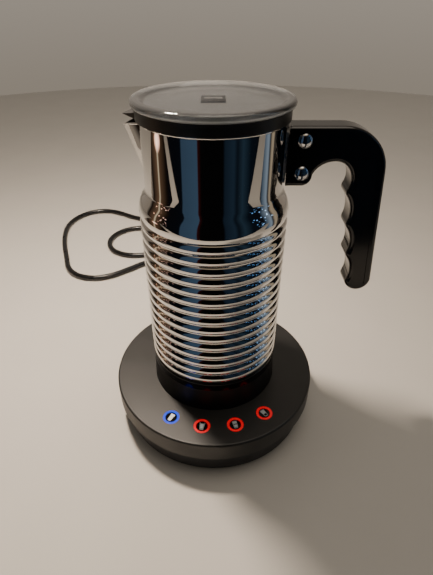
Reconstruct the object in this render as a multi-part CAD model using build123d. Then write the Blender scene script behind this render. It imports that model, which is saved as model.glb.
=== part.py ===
from build123d import *
import math
import os

# Milk frother: a steel jug with a lid and a handle, which stands on a round heating base.
# Millimetres, +Z up. The origin is the centre of the face that the base rests on.
# The spout points along -X, the handle along +X and the buttons are at the front, -Y.

# ---- base covers ----
BASE_R = 72.0  # outside radius of the upper cover
BASE_TOP_Z = 33.5  # height of the flat top
BASE_SEAM_Z = 19.7  # lower edge of the upper cover
BASE_WALL = 2.2
BASE_EDGE_R = 1.4  # rounding of the top edge
UNDERCUT = 0.9  # the lower cover steps in by this at the seam
LOWER_STEP = 4.3  # from the upper cover's radius in to the lower cover's near its bottom
LOWER_CORNER = 2.0
GROUND_GAP = 1.2  # the lower cover stands this far off the table
LIP_H = 2.8
LIP_T = 1.5
FIT_GAP = 0.2  # clearance between covers that push together
FOOT_IN = 3.7  # from the lower cover's edge in to the foot
FOOT_W = 7.0
FOOT_SEAT = 1.0  # depth of the foot's groove
DISH_CORNER = 0.4  # how much further in the dish's inner corner lies

# ---- screws that hold the base covers ----
SCREW_SIDE_GAP = 0.6  # between a screw's boss and the collar's flange
SCREW_ANGLES = (35.0, 145.0, 215.0, 325.0)
SCREW_R = 1.4
SCREW_HEAD_R = 3.0
SCREW_HEAD_H = 1.4
SCREW_L = 17.0
BOSS_R = 3.6
POST_R = 4.8
POST_TOP_Z = 12.0

# ---- collar that the jug stands on ----
COLLAR_R = 43.7  # at the base's top
COLLAR_TAPER = 0.8  # the collar's top is this much narrower
COLLAR_TOP_Z = 57.5
COLLAR_WALL = 2.0
COLLAR_EDGE_R = 1.2
COLLAR_FLANGE = 4.3  # how far the hidden flange stands out
BOSS_PAD_R = 24.0  # raised pad that centres the jug
BOSS_PAD_H = 1.8

# ---- heater, motor and boards ----
COIL_SIDE_GAP = 5.3  # between the coil's tray and the collar
COIL_R_IN = 14.0
COIL_H = 2.8
COIL_GAP = 0.4  # between the coil and the collar's deck
CARRIER_H = 2.2
CARRIER_RIM = 1.6
FERRITE_COUNT = 6
FERRITE_SIZE = (17.0, 6.0, 2.0)
CHASSIS_SIDE = 2.3  # how far the frame's plate reaches past the collar
CHASSIS_Z = 8.0
CHASSIS_T = 2.0
CHASSIS_LEG_R = 3.0
CHASSIS_LEG_IN = 1.0  # from the plate's edge to the leg
CHASSIS_LEG_TURN = 60.0  # degrees from a column to the next leg
COLUMN_CIRCLE_R = 30.0
COLUMN_R = 2.5
COLUMN_ANGLES = (30.0, 150.0, 270.0)
MOTOR_R = 12.0
MOTOR_H = 30.0
MOTOR_CUP_T = 2.2
MOTOR_CUP_H = 8.0
MOTOR_EDGE = 0.8
SHAFT_R = 1.5
SHAFT_FIT = 0.05  # radial running clearance
SHAFT_IN_MOTOR = 20.0
SHAFT_END_GAP = 0.3
ROTOR_R = 11.0
ROTOR_H = 5.6
ROTOR_TOP_GAP = 1.0  # under the collar's deck
MAGNET_R = 3.5
MAGNET_H = 3.4
MAGNET_CIRCLE_R = 6.6
POWER_BOARD = (42.0, 22.0, 1.6)
POWER_BOARD_Y = 30.0
POWER_SPACER = 2.0
SPACER_R = 1.6
SPACER_IN = 3.0  # from the board's edges
CHOKE = (-13.0, -1.0, 12.0, 12.0, 10.0)  # place on the board, then size
HEAT_SINK = (13.5, -1.0, 3.0, 16.0, 13.0)
CONNECTOR = (7.0, 6.5, 6.0, 5.0, 6.0)
BIG_CAPACITOR = (-1.0, 3.0, 4.0, 12.0)  # place on the board, radius and height
SMALL_CAPACITOR = (7.0, -4.0, 3.0, 9.0)
CONTROL_T = 1.6
CONTROL_TOP_Z = 24.4
CONTROL_HALF_W = 7.3
CONTROL_MARGIN = 11.0  # degrees of board past the end buttons

# ---- buttons ----
BUTTON_NAMES = ("cold_froth", "hot_milk", "light_froth", "dense_froth")
BUTTON_OUT = 13.6  # from the collar to the circle of the buttons
BUTTON_MID_ANGLE = -86.9
BUTTON_STEP = 22.0
BUTTON_R = 3.75
BUTTON_H = 3.4
BUTTON_SINK = 0.1  # the cap's face is this far under the top
BUTTON_TRAVEL = 0.5
BUTTON_SIDE_GAP = 0.15
STEM_R = 1.4
LIGHT_RING_R = 5.5
SWITCH_SIZE = 4.4
SWITCH_H = 1.5
PLUNGER_R = 1.0
PLUNGER_H = 1.0
SWITCH_SLACK = 0.1  # left over at the end of the travel

# ---- jug ----
JUG_GAP = 0.3  # between the jug and what it stands on
RIB_COUNT = 15
RIB_PITCH = 6.81
RIB_CREST_R = 43.4
RIB_GROOVE_R = 41.7
RIB_GROOVE_W = 0.5
JUG_BORE_R = 40.9  # inside the ribbed wall
BULGE_R = 43.3
BULGE_H = 17.0
BULGE_WIDE_H = 4.4  # height of the bulge's widest place over the ribs
SHOULDER_H = 10.5  # where the bulge turns in to the neck
SHOULDER_IN = 1.2
NECK_R = 38.7
NECK_WALL = 0.8
NECK_H = 36.25
RIM_BEAD = 0.5
SPOUT_REACH = 8.3  # from the neck to the tip
SPOUT_TIP_DROP = 3.4  # below the rim
SPOUT_ROOT_DROP = 29.2
SPOUT_HALF_ANGLE = 20.0
SPOUT_LAP = 3.0  # how far the spout's wedge reaches into the neck's wall
SPOUT_ROOT_HALF = 0.6  # half the wedge's width at its root
SPOUT_RIDGE_SHARE = 2.2  # wall along X at the ridge, over the wall across it
VESSEL_WALL = 0.8
VESSEL_CORNER = 6.0
VESSEL_GAP = 0.3
VESSEL_DROP = 33.2  # from the rim down to the vessel's top
VESSEL_LIP_H = 2.0
CAP_T = 4.0
CAP_RECESS_GAP = 0.2
PIN_R = 2.0
PIN_H = 12.9
PIN_FLANGE_R = 6.0
PIN_FLANGE_H = 1.0
PIN_TIP = 0.5

# ---- whisk ----
WHISK_FIT = 0.06  # radial running clearance on the pin
WHISK_LIFT = 0.5
HUB_R = 11.0
HUB_H = 5.4
HUB_TOP_R = 4.2
HUB_TOP_H = 4.6
HUB_EDGE_R = 1.2
WHISK_RING_R = 17.0
WHISK_WIRE_R = 1.7
WHISK_WIRE_SIDES = 12
SPOKE_R = 0.9
SPOKE_COUNT = 3
SPOKE_ROOT = 1.5
SPOKE_ANGLE = 20.0  # of the first spoke

# ---- lid ----
LID_OVERHANG = 3.8  # past the neck
LID_T = 4.2
LID_DISC_DROP = 2.1  # the middle lies this far under the rim
LID_RIM_W = 6.9
LID_RIM_SLOPE = 2.4
LID_GAP = 0.3
SEAL_OVERHANG = 1.8
SEAL_H = 5.8
SEAL_PLUG_GAP = 0.5
SEAL_PLUG_DEPTH = 7.5
SEAL_T = 2.2
BEAK_REACH = 8.5  # from the neck to the tip
BEAK_TIP_UP = 1.5  # above the rim
BEAK_RISE = 2.6
BEAK_DROP = 1.2
BEAK_HALF_ANGLE = 16.0
BADGE_SIZE = (13.8, 16.0, 0.5)
BADGE_CORNER = 1.0

# ---- handle, with x out from the neck's wall and z up from its rim ----
HANDLE_T = 16.0
HANDLE_EDGE_R = 2.6
HANDLE_TOP_Z = -3.4
HANDLE_BLOCK_Z = -35.6  # underside of the block at the jug
HANDLE_END_GAP = 0.4
HANDLE_LAP = 2.0  # how far the outline starts inside the saddle's face
HANDLE_BEND_R = 25.8  # outside of the top corner
HANDLE_BEND_X = 29.3
HANDLE_LEAN = 4.85  # degrees that the outside of the grip leans out
HANDLE_LOW_Z = -98.2
TIP_R = 7.6
FINGER_FIRST = (34.9, -40.0)  # first crest between the fingers
FINGER_LAST = (44.9, -99.6)
FINGER_COUNT = 3
FINGER_DEPTH = 3.1
FINGER_CREST_R = 3.6
ARCH_SIDE = (36.7, -29.8)
ARCH_RIGHT = (32.1, -23.4)
ARCH_CROWN = (25.1, -22.1)
ARCH_LEFT = (17.7, -25.8)
BLOCK_CORNER_X = 15.3
BLOCK_CORNER_R = 6.0
BLOCK_ROUND_R = 5.8
GROOVE_INSET = 4.6
GROOVE_W = 0.9
GROOVE_DEPTH = 0.5
GROOVE_START_X = 19.3
GROOVE_END_Z = -100.2
PANEL_X = (2.9, 14.3)
PANEL_Z = (-33.2, -6.2)
PANEL_DEPTH = 0.5
PANEL_CORNER_R = 2.2
HANDLE_SCREW_X = 9.2
HANDLE_SCREW_Z = (-10.7, -28.4)
HANDLE_SCREW_R = 2.0
HANDLE_HEAD_R = 4.0
HANDLE_HEAD_H = 1.9
HANDLE_SLOT_W = 0.9
HANDLE_SLOT_DEPTH = 0.9
SADDLE_T = 1.0
SADDLE_HALF_ANGLE = 11.0
SADDLE_Z = (-33.2, -6.2)
TAB_T = 2.0
TAB_END_X = 14.3
TAB_MARGIN = 3.0
TAB_WELD = 0.2  # the tab starts this far inside the saddle

# ---- mains lead ----
CORD_D = 6.0
GLAND_Z = 9.5
GLAND_R = 5.4
GLAND_TIP_R = 3.6
GLAND_OUT = 3.3  # how far past the lower cover's foot its wall lies at the gland
GLAND_FLANGE_R = 6.0
GLAND_FLANGE_T = 2.0
GLAND_BORE_IN = 6.6  # how far inside the lower cover its hole for the gland starts
EXIT_Y = 97.0
PLUG_BODY = (36.0, 35.3, 13.7)
PLUG_TAIL_L = 14.0
PLUG_CORNER = 5.5
PLUG_BACK_R = 3.0
PLUG_TAIL_R = (3.8, 5.6)  # at the lead and at the body
PLUG_TAIL_LAP = 3.0
PLUG_PIN_TIP = 0.6
PIN_SPACING = 18.6
PLUG_PIN_R = 2.0
PLUG_PIN_L = 19.0
# The lead leaves the back of the base, runs out to the left in a wide loop, comes back behind the jug,
# makes a second and smaller loop inside the first and ends in its plug. It lies on the table all the way.
CORD_ROUTE = (
    (0.0, 97.0, 9.5),
    (0.0, 116.0, 8.9),
    (-2.0, 137.0, 5.2),
    (-7.5, 158.0, 3.0),
    (-18.0, 178.5, 3.0),
    (-34.5, 194.5, 3.0),
    (-57.0, 201.5, 3.0),
    (-79.5, 195.0, 3.0),
    (-98.0, 179.5, 3.0),
    (-115.5, 165.5, 3.0),
    (-135.0, 160.0, 3.0),
    (-154.5, 165.5, 3.0),
    (-169.0, 181.5, 3.0),
    (-177.0, 205.0, 3.0),
    (-187.0, 231.0, 3.0),
    (-195.0, 258.5, 3.0),
    (-199.0, 286.0, 3.0),
    (-194.0, 310.0, 3.0),
    (-179.0, 329.0, 3.0),
    (-156.0, 335.5, 3.0),
    (-133.5, 326.5, 3.0),
    (-112.0, 311.0, 3.0),
    (-86.0, 301.5, 3.0),
    (-57.0, 299.0, 3.0),
    (-28.5, 294.5, 3.0),
    (-3.0, 286.0, 3.0),
    (16.0, 272.5, 3.0),
    (24.5, 251.5, 3.0),
    (20.0, 229.0, 3.0),
    (4.0, 213.5, 3.0),
    (-18.5, 209.5, 3.0),
    (-45.0, 214.5, 3.0),
    (-71.0, 215.5, 3.0),
    (-95.0, 208.5, 3.0),
    (-116.5, 213.5, 3.0),
    (-131.0, 229.5, 3.0),
    (-134.5, 250.5, 3.0),
    (-125.5, 270.0, 3.0),
    (-107.0, 281.0, 3.0),
    (-84.0, 279.5, 4.2),
    (-64.0, 272.5, 6.85),
)

# ---- values that follow from the ones above ----
TOP_PLATE_Z = BASE_TOP_Z - BASE_WALL
BASE_IN_R = BASE_R - BASE_WALL
LOWER_R = BASE_R - LOWER_STEP
FOOT_R_OUT = LOWER_R - FOOT_IN
FOOT_R_IN = FOOT_R_OUT - FOOT_W
FLOOR_Z = GROUND_GAP + BASE_WALL
GLAND_WALL_Y = LOWER_R + GLAND_OUT
DECK_Z = COLLAR_TOP_Z - COLLAR_WALL
COLLAR_TOP_R = COLLAR_R - COLLAR_TAPER
COLLAR_IN_R = COLLAR_TOP_R - COLLAR_WALL
FLANGE_R = COLLAR_R + COLLAR_FLANGE
SCREW_CIRCLE_R = FLANGE_R + SCREW_SIDE_GAP + BOSS_R
BUTTON_CIRCLE_R = COLLAR_R + BUTTON_OUT
CHASSIS_R = COLLAR_R + CHASSIS_SIDE
COIL_R_OUT = COLLAR_IN_R - COIL_SIDE_GAP - CARRIER_RIM
COIL_TOP_Z = DECK_Z - COIL_GAP
CARRIER_TOP_Z = COIL_TOP_Z - COIL_H
FERRITE_TOP_Z = CARRIER_TOP_Z - CARRIER_H
CHASSIS_TOP_Z = CHASSIS_Z + CHASSIS_T
MOTOR_TOP_Z = CHASSIS_TOP_Z + MOTOR_H
ROTOR_TOP_Z = DECK_Z - ROTOR_TOP_GAP
JUG_Z = COLLAR_TOP_Z + JUG_GAP
CAP_RECESS = BOSS_PAD_H + CAP_RECESS_GAP
RIBS_TOP_Z = JUG_Z + RIB_COUNT * RIB_PITCH
NECK_Z = RIBS_TOP_Z + BULGE_H
NECK_TOP_Z = NECK_Z + NECK_H
SPOUT_TIP_X = -(NECK_R + SPOUT_REACH)
SPOUT_TIP_Z = NECK_TOP_Z - SPOUT_TIP_DROP
SPOUT_ROOT_Z = NECK_TOP_Z - SPOUT_ROOT_DROP
VESSEL_TOP_Z = NECK_TOP_Z - VESSEL_DROP
VESSEL_R = NECK_R - NECK_WALL - VESSEL_GAP
VESSEL_Z = JUG_Z + CAP_T + VESSEL_GAP
VESSEL_FLOOR_Z = VESSEL_Z + VESSEL_WALL
PIN_Z = VESSEL_FLOOR_Z + PIN_FLANGE_H
HUB_Z = PIN_Z + WHISK_LIFT
WHISK_Z = HUB_Z + HUB_H / 2
SEAL_Z = NECK_TOP_Z + LID_GAP
SEAL_R = NECK_R + SEAL_OVERHANG
BEAK_TIP_X = -(NECK_R + BEAK_REACH)
BEAK_TIP_Z = NECK_TOP_Z + BEAK_TIP_UP
LID_R = NECK_R + LID_OVERHANG
LID_DISC_R = LID_R - LID_RIM_W
LID_Z = SEAL_Z + SEAL_H
LID_TOP_Z = LID_Z + LID_T
HANDLE_BEND_Z = HANDLE_TOP_Z - HANDLE_BEND_R
SADDLE_R = NECK_R + SADDLE_T


def disc(radius, z_low, z_high, x=0.0, y=0.0):
    """An upright cylinder between two heights."""
    lift = (Align.CENTER, Align.CENTER, Align.MIN)
    return Pos(x, y, z_low) * Cylinder(radius, z_high - z_low, align=lift)


def ring(r_out, r_in, z_low, z_high, x=0.0, y=0.0):
    """An upright tube between two heights."""
    return disc(r_out, z_low, z_high, x, y) - disc(r_in, z_low - 1.0, z_high + 1.0, x, y)


def block(x_range, y_range, z_range):
    """A box given by its low and high corner."""
    size = [high - low for low, high in (x_range, y_range, z_range)]
    low = Pos(x_range[0], y_range[0], z_range[0])
    return low * Box(*size, align=(Align.MIN, Align.MIN, Align.MIN))


def turned(*edges):
    """The solid that a closed profile of radius and height sweeps round the Z axis."""
    profile = make_face(Plane.XZ * Curve(edges).wires()[0])
    return revolve(profile, Axis.Z)


def turned_polygon(*points):
    """The same for a profile with straight sides."""
    return revolve(make_face(Plane.XZ * Polyline(*points, close=True)), Axis.Z)


def around(radius, angle):
    """The x and y of a place on a circle about the Z axis, with the angle in degrees."""
    return radius * math.cos(math.radians(angle)), radius * math.sin(math.radians(angle))


def joined(solids):
    """One shape from a list of shapes."""
    shape = solids[0]
    for other in solids[1:]:
        shape = shape + other
    return shape


def cut_by(shape, cutters):
    """A shape with each cutter taken away."""
    for cutter in cutters:
        shape = shape - cutter
    return shape


def button_places():
    """The x and y of each button, left to right."""
    middle = (len(BUTTON_NAMES) - 1) / 2
    angles = [BUTTON_MID_ANGLE + (i - middle) * BUTTON_STEP for i in range(len(BUTTON_NAMES))]
    return [around(BUTTON_CIRCLE_R, angle) for angle in angles]


def screw_places():
    """The x and y of each screw of the base."""
    return [around(SCREW_CIRCLE_R, angle) for angle in SCREW_ANGLES]


# ---- base ----
def base_top_cover():
    """The round top and side wall, open in the middle for the collar, with bosses for the screws."""
    shell = disc(BASE_R, BASE_SEAM_Z, BASE_TOP_Z)
    shell = fillet(shell.edges().sort_by(Axis.Z)[-1], BASE_EDGE_R)
    shell = shell - disc(BASE_IN_R, BASE_SEAM_Z - 1.0, TOP_PLATE_Z)
    shell = shell - disc(COLLAR_R + FIT_GAP, TOP_PLATE_Z - 1.0, BASE_TOP_Z + 1.0)
    bosses = [disc(BOSS_R, POST_TOP_Z, TOP_PLATE_Z, x, y) for x, y in screw_places()]
    shell = joined([shell, *bosses])
    pilot_top = FLOOR_Z + SCREW_L
    pilots = [disc(SCREW_R, POST_TOP_Z - 1.0, pilot_top, x, y) for x, y in screw_places()]
    wells = [
        disc(LIGHT_RING_R, TOP_PLATE_Z - 1.0, BASE_TOP_Z + 1.0, x, y) for x, y in button_places()
    ]
    return cut_by(shell, pilots + wells)


def base_bottom_cover():
    """The dish under the seam, with a lip inside the upper cover, screw posts and the groove of the foot."""
    seam_r = BASE_R - UNDERCUT
    dish = turned_polygon(
        (0, GROUND_GAP),
        (LOWER_R - LOWER_CORNER, GROUND_GAP),
        (LOWER_R, GROUND_GAP + LOWER_CORNER),
        (seam_r, BASE_SEAM_Z),
        (seam_r - BASE_WALL, BASE_SEAM_Z),
        (LOWER_R - LOWER_CORNER - DISH_CORNER, FLOOR_Z),
        (0, FLOOR_Z),
    )
    lip_r = BASE_IN_R - FIT_GAP
    lip_foot_z = BASE_SEAM_Z - BASE_WALL
    lip = ring(lip_r, lip_r - LIP_T, lip_foot_z, BASE_SEAM_Z + LIP_H)
    posts = [disc(POST_R, GROUND_GAP, POST_TOP_Z, x, y) for x, y in screw_places()]
    dish = joined([dish, lip, *posts])
    cutters = [ring(FOOT_R_OUT, FOOT_R_IN, GROUND_GAP - 1.0, GROUND_GAP + FOOT_SEAT)]
    for x, y in screw_places():
        cutters.append(disc(SCREW_HEAD_R + FIT_GAP, GROUND_GAP - 1.0, FLOOR_Z, x, y))
        cutters.append(disc(SCREW_R + FIT_GAP, FLOOR_Z - 1.0, POST_TOP_Z + 1.0, x, y))
    cutters.append(gland_cylinder(GLAND_R, LOWER_R - GLAND_BORE_IN, BASE_R + 1.0))
    return cut_by(dish, cutters)


def gland_cylinder(radius, y_low, y_high):
    """A cylinder along the axis of the lead's gland."""
    turn = Pos(0, y_low, GLAND_Z) * Rot(X=-90)
    return turn * Cylinder(radius, y_high - y_low, align=(Align.CENTER, Align.CENTER, Align.MIN))


def foot_ring():
    """The rubber ring that the base stands on."""
    return ring(FOOT_R_OUT, FOOT_R_IN, 0, GROUND_GAP + FOOT_SEAT)


def cover_screws():
    """The four screws that pull the covers together, each with a shank and a head."""
    screws = []
    for x, y in screw_places():
        head = disc(SCREW_HEAD_R, FLOOR_Z - SCREW_HEAD_H, FLOOR_Z, x, y)
        screws.append(head + disc(SCREW_R, FLOOR_Z, FLOOR_Z + SCREW_L, x, y))
    return Compound(children=screws)


def plinth_collar():
    """The round stand under the jug: a wall, a deck with a centring pad, and a flange under the cover."""
    wall = turned_polygon(
        (0, TOP_PLATE_Z),
        (COLLAR_R, TOP_PLATE_Z),
        (COLLAR_R, BASE_TOP_Z),
        (COLLAR_TOP_R, COLLAR_TOP_Z),
        (0, COLLAR_TOP_Z),
    )
    wall = fillet(wall.edges().filter_by(GeomType.CIRCLE).sort_by(Axis.Z)[-1], COLLAR_EDGE_R)
    flange = disc(FLANGE_R, TOP_PLATE_Z - COLLAR_WALL, TOP_PLATE_Z)
    pad = disc(BOSS_PAD_R, DECK_Z, COLLAR_TOP_Z + BOSS_PAD_H)
    inside = disc(COLLAR_IN_R, TOP_PLATE_Z - COLLAR_WALL - 1.0, DECK_Z)
    return wall + flange - inside + pad


def induction_coil():
    """The flat coil of litz wire under the deck."""
    return ring(COIL_R_OUT, COIL_R_IN, CARRIER_TOP_Z, COIL_TOP_Z)


def coil_carrier():
    """The plastic tray that the coil lies in."""
    tray = ring(COIL_R_OUT + CARRIER_RIM, COIL_R_IN - CARRIER_RIM, FERRITE_TOP_Z, CARRIER_TOP_Z)
    rim = ring(COIL_R_OUT + CARRIER_RIM, COIL_R_OUT, CARRIER_TOP_Z, COIL_TOP_Z)
    return tray + rim


def ferrite_bars():
    """The bars under the tray that lead the coil's field."""
    length, width, height = FERRITE_SIZE
    middle = (COIL_R_OUT + COIL_R_IN) / 2
    bar = Pos(middle, 0, FERRITE_TOP_Z - height / 2) * Box(length, width, height)
    step = 360 / FERRITE_COUNT
    return Compound(children=[Rot(Z=i * step) * bar for i in range(FERRITE_COUNT)])


def board_pad():
    """The part of the frame's plate under the mains board's spacers."""
    half_w = POWER_BOARD[0] / 2 - SPACER_IN + SPACER_R
    half_l = POWER_BOARD[1] / 2 - SPACER_IN + SPACER_R
    along = (POWER_BOARD_Y - half_l, POWER_BOARD_Y + half_l)
    return block((-half_w, half_w), along, (CHASSIS_Z, CHASSIS_TOP_Z))


def base_chassis():
    """The inner frame: a plate on legs, with a cup for the motor, columns and board spacers."""
    plate = disc(CHASSIS_R, CHASSIS_Z, CHASSIS_TOP_Z) + board_pad()
    cup_z = CHASSIS_TOP_Z + MOTOR_CUP_H
    solids = [plate, ring(MOTOR_R + MOTOR_CUP_T, MOTOR_R, CHASSIS_Z, cup_z)]
    for angle in COLUMN_ANGLES:
        x, y = around(COLUMN_CIRCLE_R, angle)
        solids.append(disc(COLUMN_R, CHASSIS_Z, FERRITE_TOP_Z, x, y))
        x, y = around(CHASSIS_R - CHASSIS_LEG_IN - CHASSIS_LEG_R, angle + CHASSIS_LEG_TURN)
        solids.append(disc(CHASSIS_LEG_R, FLOOR_Z, CHASSIS_TOP_Z, x, y))
    for x in (-1, 1):
        for y in (-1, 1):
            spacer_x = x * (POWER_BOARD[0] / 2 - SPACER_IN)
            spacer_y = POWER_BOARD_Y + y * (POWER_BOARD[1] / 2 - SPACER_IN)
            spacer_top = CHASSIS_TOP_Z + POWER_SPACER
            solids.append(disc(SPACER_R, CHASSIS_Z, spacer_top, spacer_x, spacer_y))
    return joined(solids)


def motor_can():
    """The closed motor, with a blind bore for its shaft."""
    can = disc(MOTOR_R, CHASSIS_TOP_Z, MOTOR_TOP_Z)
    can = chamfer(can.edges().sort_by(Axis.Z)[-1], MOTOR_EDGE)
    return can - disc(SHAFT_R + SHAFT_FIT, MOTOR_TOP_Z - SHAFT_IN_MOTOR, MOTOR_TOP_Z + 1.0)


def motor_shaft():
    """The shaft, from inside the motor up into the magnet carrier."""
    low = MOTOR_TOP_Z - SHAFT_IN_MOTOR + SHAFT_END_GAP
    return disc(SHAFT_R, low, ROTOR_TOP_Z - MAGNET_H)


def magnet_places(z_low):
    """The two magnets of a coupling half, as cylinders from a height upwards."""
    return [disc(MAGNET_R, z_low, z_low + MAGNET_H, side * MAGNET_CIRCLE_R) for side in (-1, 1)]


def magnet_carrier():
    """The disc on the motor's shaft that carries the driving magnets."""
    body = disc(ROTOR_R, ROTOR_TOP_Z - ROTOR_H, ROTOR_TOP_Z)
    return cut_by(body, [motor_shaft(), *magnet_places(ROTOR_TOP_Z - MAGNET_H)])


def drive_magnets():
    """The driving magnets, flush with the carrier's top."""
    return Compound(children=magnet_places(ROTOR_TOP_Z - MAGNET_H))


def power_board():
    """The mains board behind the motor."""
    low_z = CHASSIS_TOP_Z + POWER_SPACER
    return Pos(0, POWER_BOARD_Y, low_z + POWER_BOARD[2] / 2) * Box(*POWER_BOARD)


def power_components():
    """What stands on the mains board: a choke, two capacitors, a heat sink and a connector."""
    z = CHASSIS_TOP_Z + POWER_SPACER + POWER_BOARD[2]
    parts = []
    for x, y, width, depth, height in (CHOKE, HEAT_SINK, CONNECTOR):
        parts.append(Pos(x, POWER_BOARD_Y + y, z + height / 2) * Box(width, depth, height))
    for x, y, radius, height in (BIG_CAPACITOR, SMALL_CAPACITOR):
        parts.append(disc(radius, z, z + height, x, POWER_BOARD_Y + y))
    return Compound(children=parts)


def control_board():
    """The curved board under the buttons."""
    half = (len(BUTTON_NAMES) - 1) / 2 * BUTTON_STEP + CONTROL_MARGIN
    low_z = CONTROL_TOP_Z - CONTROL_T
    keep = (Align.NONE, Align.NONE, Align.MIN)
    outer_r = BUTTON_CIRCLE_R + CONTROL_HALF_W
    outer = Cylinder(outer_r, CONTROL_T, arc_size=2 * half, align=keep)
    sector = Pos(0, 0, low_z) * Rot(Z=BUTTON_MID_ANGLE - half) * outer
    return sector - disc(BUTTON_CIRCLE_R - CONTROL_HALF_W, low_z - 1.0, CONTROL_TOP_Z + 1.0)


def button_switches():
    """The four small switches on the control board, each with its plunger."""
    switches = []
    for x, y in button_places():
        body = Pos(x, y, CONTROL_TOP_Z + SWITCH_H / 2) * Box(SWITCH_SIZE, SWITCH_SIZE, SWITCH_H)
        plunger_z = CONTROL_TOP_Z + SWITCH_H
        switches.append(body + disc(PLUNGER_R, plunger_z, plunger_z + PLUNGER_H, x, y))
    return Compound(children=switches)


def light_ring(x, y):
    """The clear ring round a button, which stands on the board and shows flush in the top."""
    return ring(LIGHT_RING_R, BUTTON_R + BUTTON_SIDE_GAP, CONTROL_TOP_Z, BASE_TOP_Z, x, y)


def button_cap(x, y):
    """The button itself, with the stem that presses its switch."""
    top = BASE_TOP_Z - BUTTON_SINK
    stem_z = CONTROL_TOP_Z + SWITCH_H + PLUNGER_H + BUTTON_TRAVEL + SWITCH_SLACK
    return disc(BUTTON_R, top - BUTTON_H, top, x, y) + disc(STEM_R, stem_z, top - BUTTON_H, x, y)


# ---- jug ----
def rib_edges():
    """The outside of the ribbed wall, bottom to top: convex ribs with narrow flat grooves between."""
    edges = []
    half = RIB_GROOVE_W / 2
    for i in range(RIB_COUNT):
        low = JUG_Z + i * RIB_PITCH
        high = low + RIB_PITCH
        edges.append(Line((RIB_GROOVE_R, low), (RIB_GROOVE_R, low + half)))
        crest = (RIB_CREST_R, (low + high) / 2)
        edges.append(ThreePointArc((RIB_GROOVE_R, low + half), crest, (RIB_GROOVE_R, high - half)))
        edges.append(Line((RIB_GROOVE_R, high - half), (RIB_GROOVE_R, high)))
    return edges


def jug_body():
    """The turned wall of the jug: ribs, the bulge above them, the neck and its rim."""
    bulge = Spline(
        (RIB_GROOVE_R, RIBS_TOP_Z),
        (BULGE_R, RIBS_TOP_Z + BULGE_WIDE_H),
        (BULGE_R - SHOULDER_IN, RIBS_TOP_Z + SHOULDER_H),
        (NECK_R, NECK_Z),
        tangents=((0.5, 1), (0, 1)),
    )
    bead_r = NECK_R + RIM_BEAD
    bead_z = NECK_TOP_Z - 2 * RIM_BEAD
    neck_in = NECK_R - NECK_WALL
    inside = (
        (NECK_R, NECK_TOP_Z),
        (neck_in, NECK_TOP_Z),
        (neck_in, RIBS_TOP_Z + SHOULDER_H),
        (JUG_BORE_R, RIBS_TOP_Z),
        (JUG_BORE_R, JUG_Z),
        (RIB_GROOVE_R, JUG_Z),
    )
    bead = ThreePointArc((NECK_R, bead_z), (bead_r, bead_z + RIM_BEAD), (NECK_R, NECK_TOP_Z))
    neck = Line((NECK_R, NECK_Z), (NECK_R, bead_z))
    return turned(*rib_edges(), bulge, neck, bead, Polyline(*inside))


def spout_wedge(inset):
    """A wedge with its sharp edge along the spout's ridge, made smaller all round by an inset."""
    root_x = -(NECK_R + 0.1)
    slope = (SPOUT_TIP_X - root_x) / (SPOUT_TIP_Z - SPOUT_ROOT_Z)
    tip_x = SPOUT_TIP_X + slope * (NECK_TOP_Z - SPOUT_TIP_Z)
    side_x, side_y = around(NECK_R, 180 - SPOUT_HALF_ANGLE)
    back_x = side_x + SPOUT_LAP
    inward = SPOUT_RIDGE_SHARE * inset
    top = ((tip_x + inward, 0), (side_x, side_y - inset), (back_x, side_y - inset))
    low = ((root_x + inward, 0), (side_x, SPOUT_ROOT_HALF), (back_x, SPOUT_ROOT_HALF))
    faces = []
    for z, (tip, side, back) in ((NECK_TOP_Z, top), (SPOUT_ROOT_Z, low)):
        outline = (tip, side, back, (back[0], -back[1]), (side[0], -side[1]))
        faces.append(Pos(0, 0, z) * make_face(Polyline(*outline, close=True)))
    return loft(faces)


def jug_shell():
    """The steel jug: the turned wall with a pointed spout folded out of its neck."""
    shell = jug_body() + (spout_wedge(0) - disc(NECK_R - NECK_WALL, SPOUT_ROOT_Z - 1, NECK_TOP_Z + 1))
    shell = shell - spout_wedge(NECK_WALL)
    edge_x = around(NECK_R, 180 - SPOUT_HALF_ANGLE)[0]
    above = block((SPOUT_TIP_X - 5, edge_x), (-NECK_R, NECK_R), (SPOUT_TIP_Z, NECK_TOP_Z + 2))
    return shell - above


def inner_vessel():
    """The coated cup inside the jug, which holds the milk."""
    cup = disc(VESSEL_R, VESSEL_Z, VESSEL_TOP_Z)
    cup = fillet(cup.edges().sort_by(Axis.Z)[0], VESSEL_CORNER)
    hollow = disc(VESSEL_R - VESSEL_WALL, VESSEL_FLOOR_Z, VESSEL_TOP_Z + 1.0)
    hollow = fillet(hollow.edges().sort_by(Axis.Z)[0], VESSEL_CORNER - VESSEL_WALL)
    lip_z = VESSEL_TOP_Z - VESSEL_LIP_H
    lip = ring(NECK_R - NECK_WALL, VESSEL_R - VESSEL_WALL, lip_z, VESSEL_TOP_Z)
    return cup + lip - hollow


def jug_bottom_cap():
    """The disc that closes the jug from below, hollowed to sit over the collar's pad."""
    cap = disc(JUG_BORE_R, JUG_Z, JUG_Z + CAP_T)
    recess = disc(BOSS_PAD_R + 2 * JUG_GAP, JUG_Z - 1.0, JUG_Z + CAP_RECESS)
    return cap - recess


def whisk_pin():
    """The steel pin on the vessel's floor that the whisk turns on."""
    pin = disc(PIN_R, PIN_Z, PIN_Z + PIN_H)
    pin = chamfer(pin.edges().sort_by(Axis.Z)[-1], PIN_TIP)
    return pin + disc(PIN_FLANGE_R, VESSEL_FLOOR_Z, PIN_Z)


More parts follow.
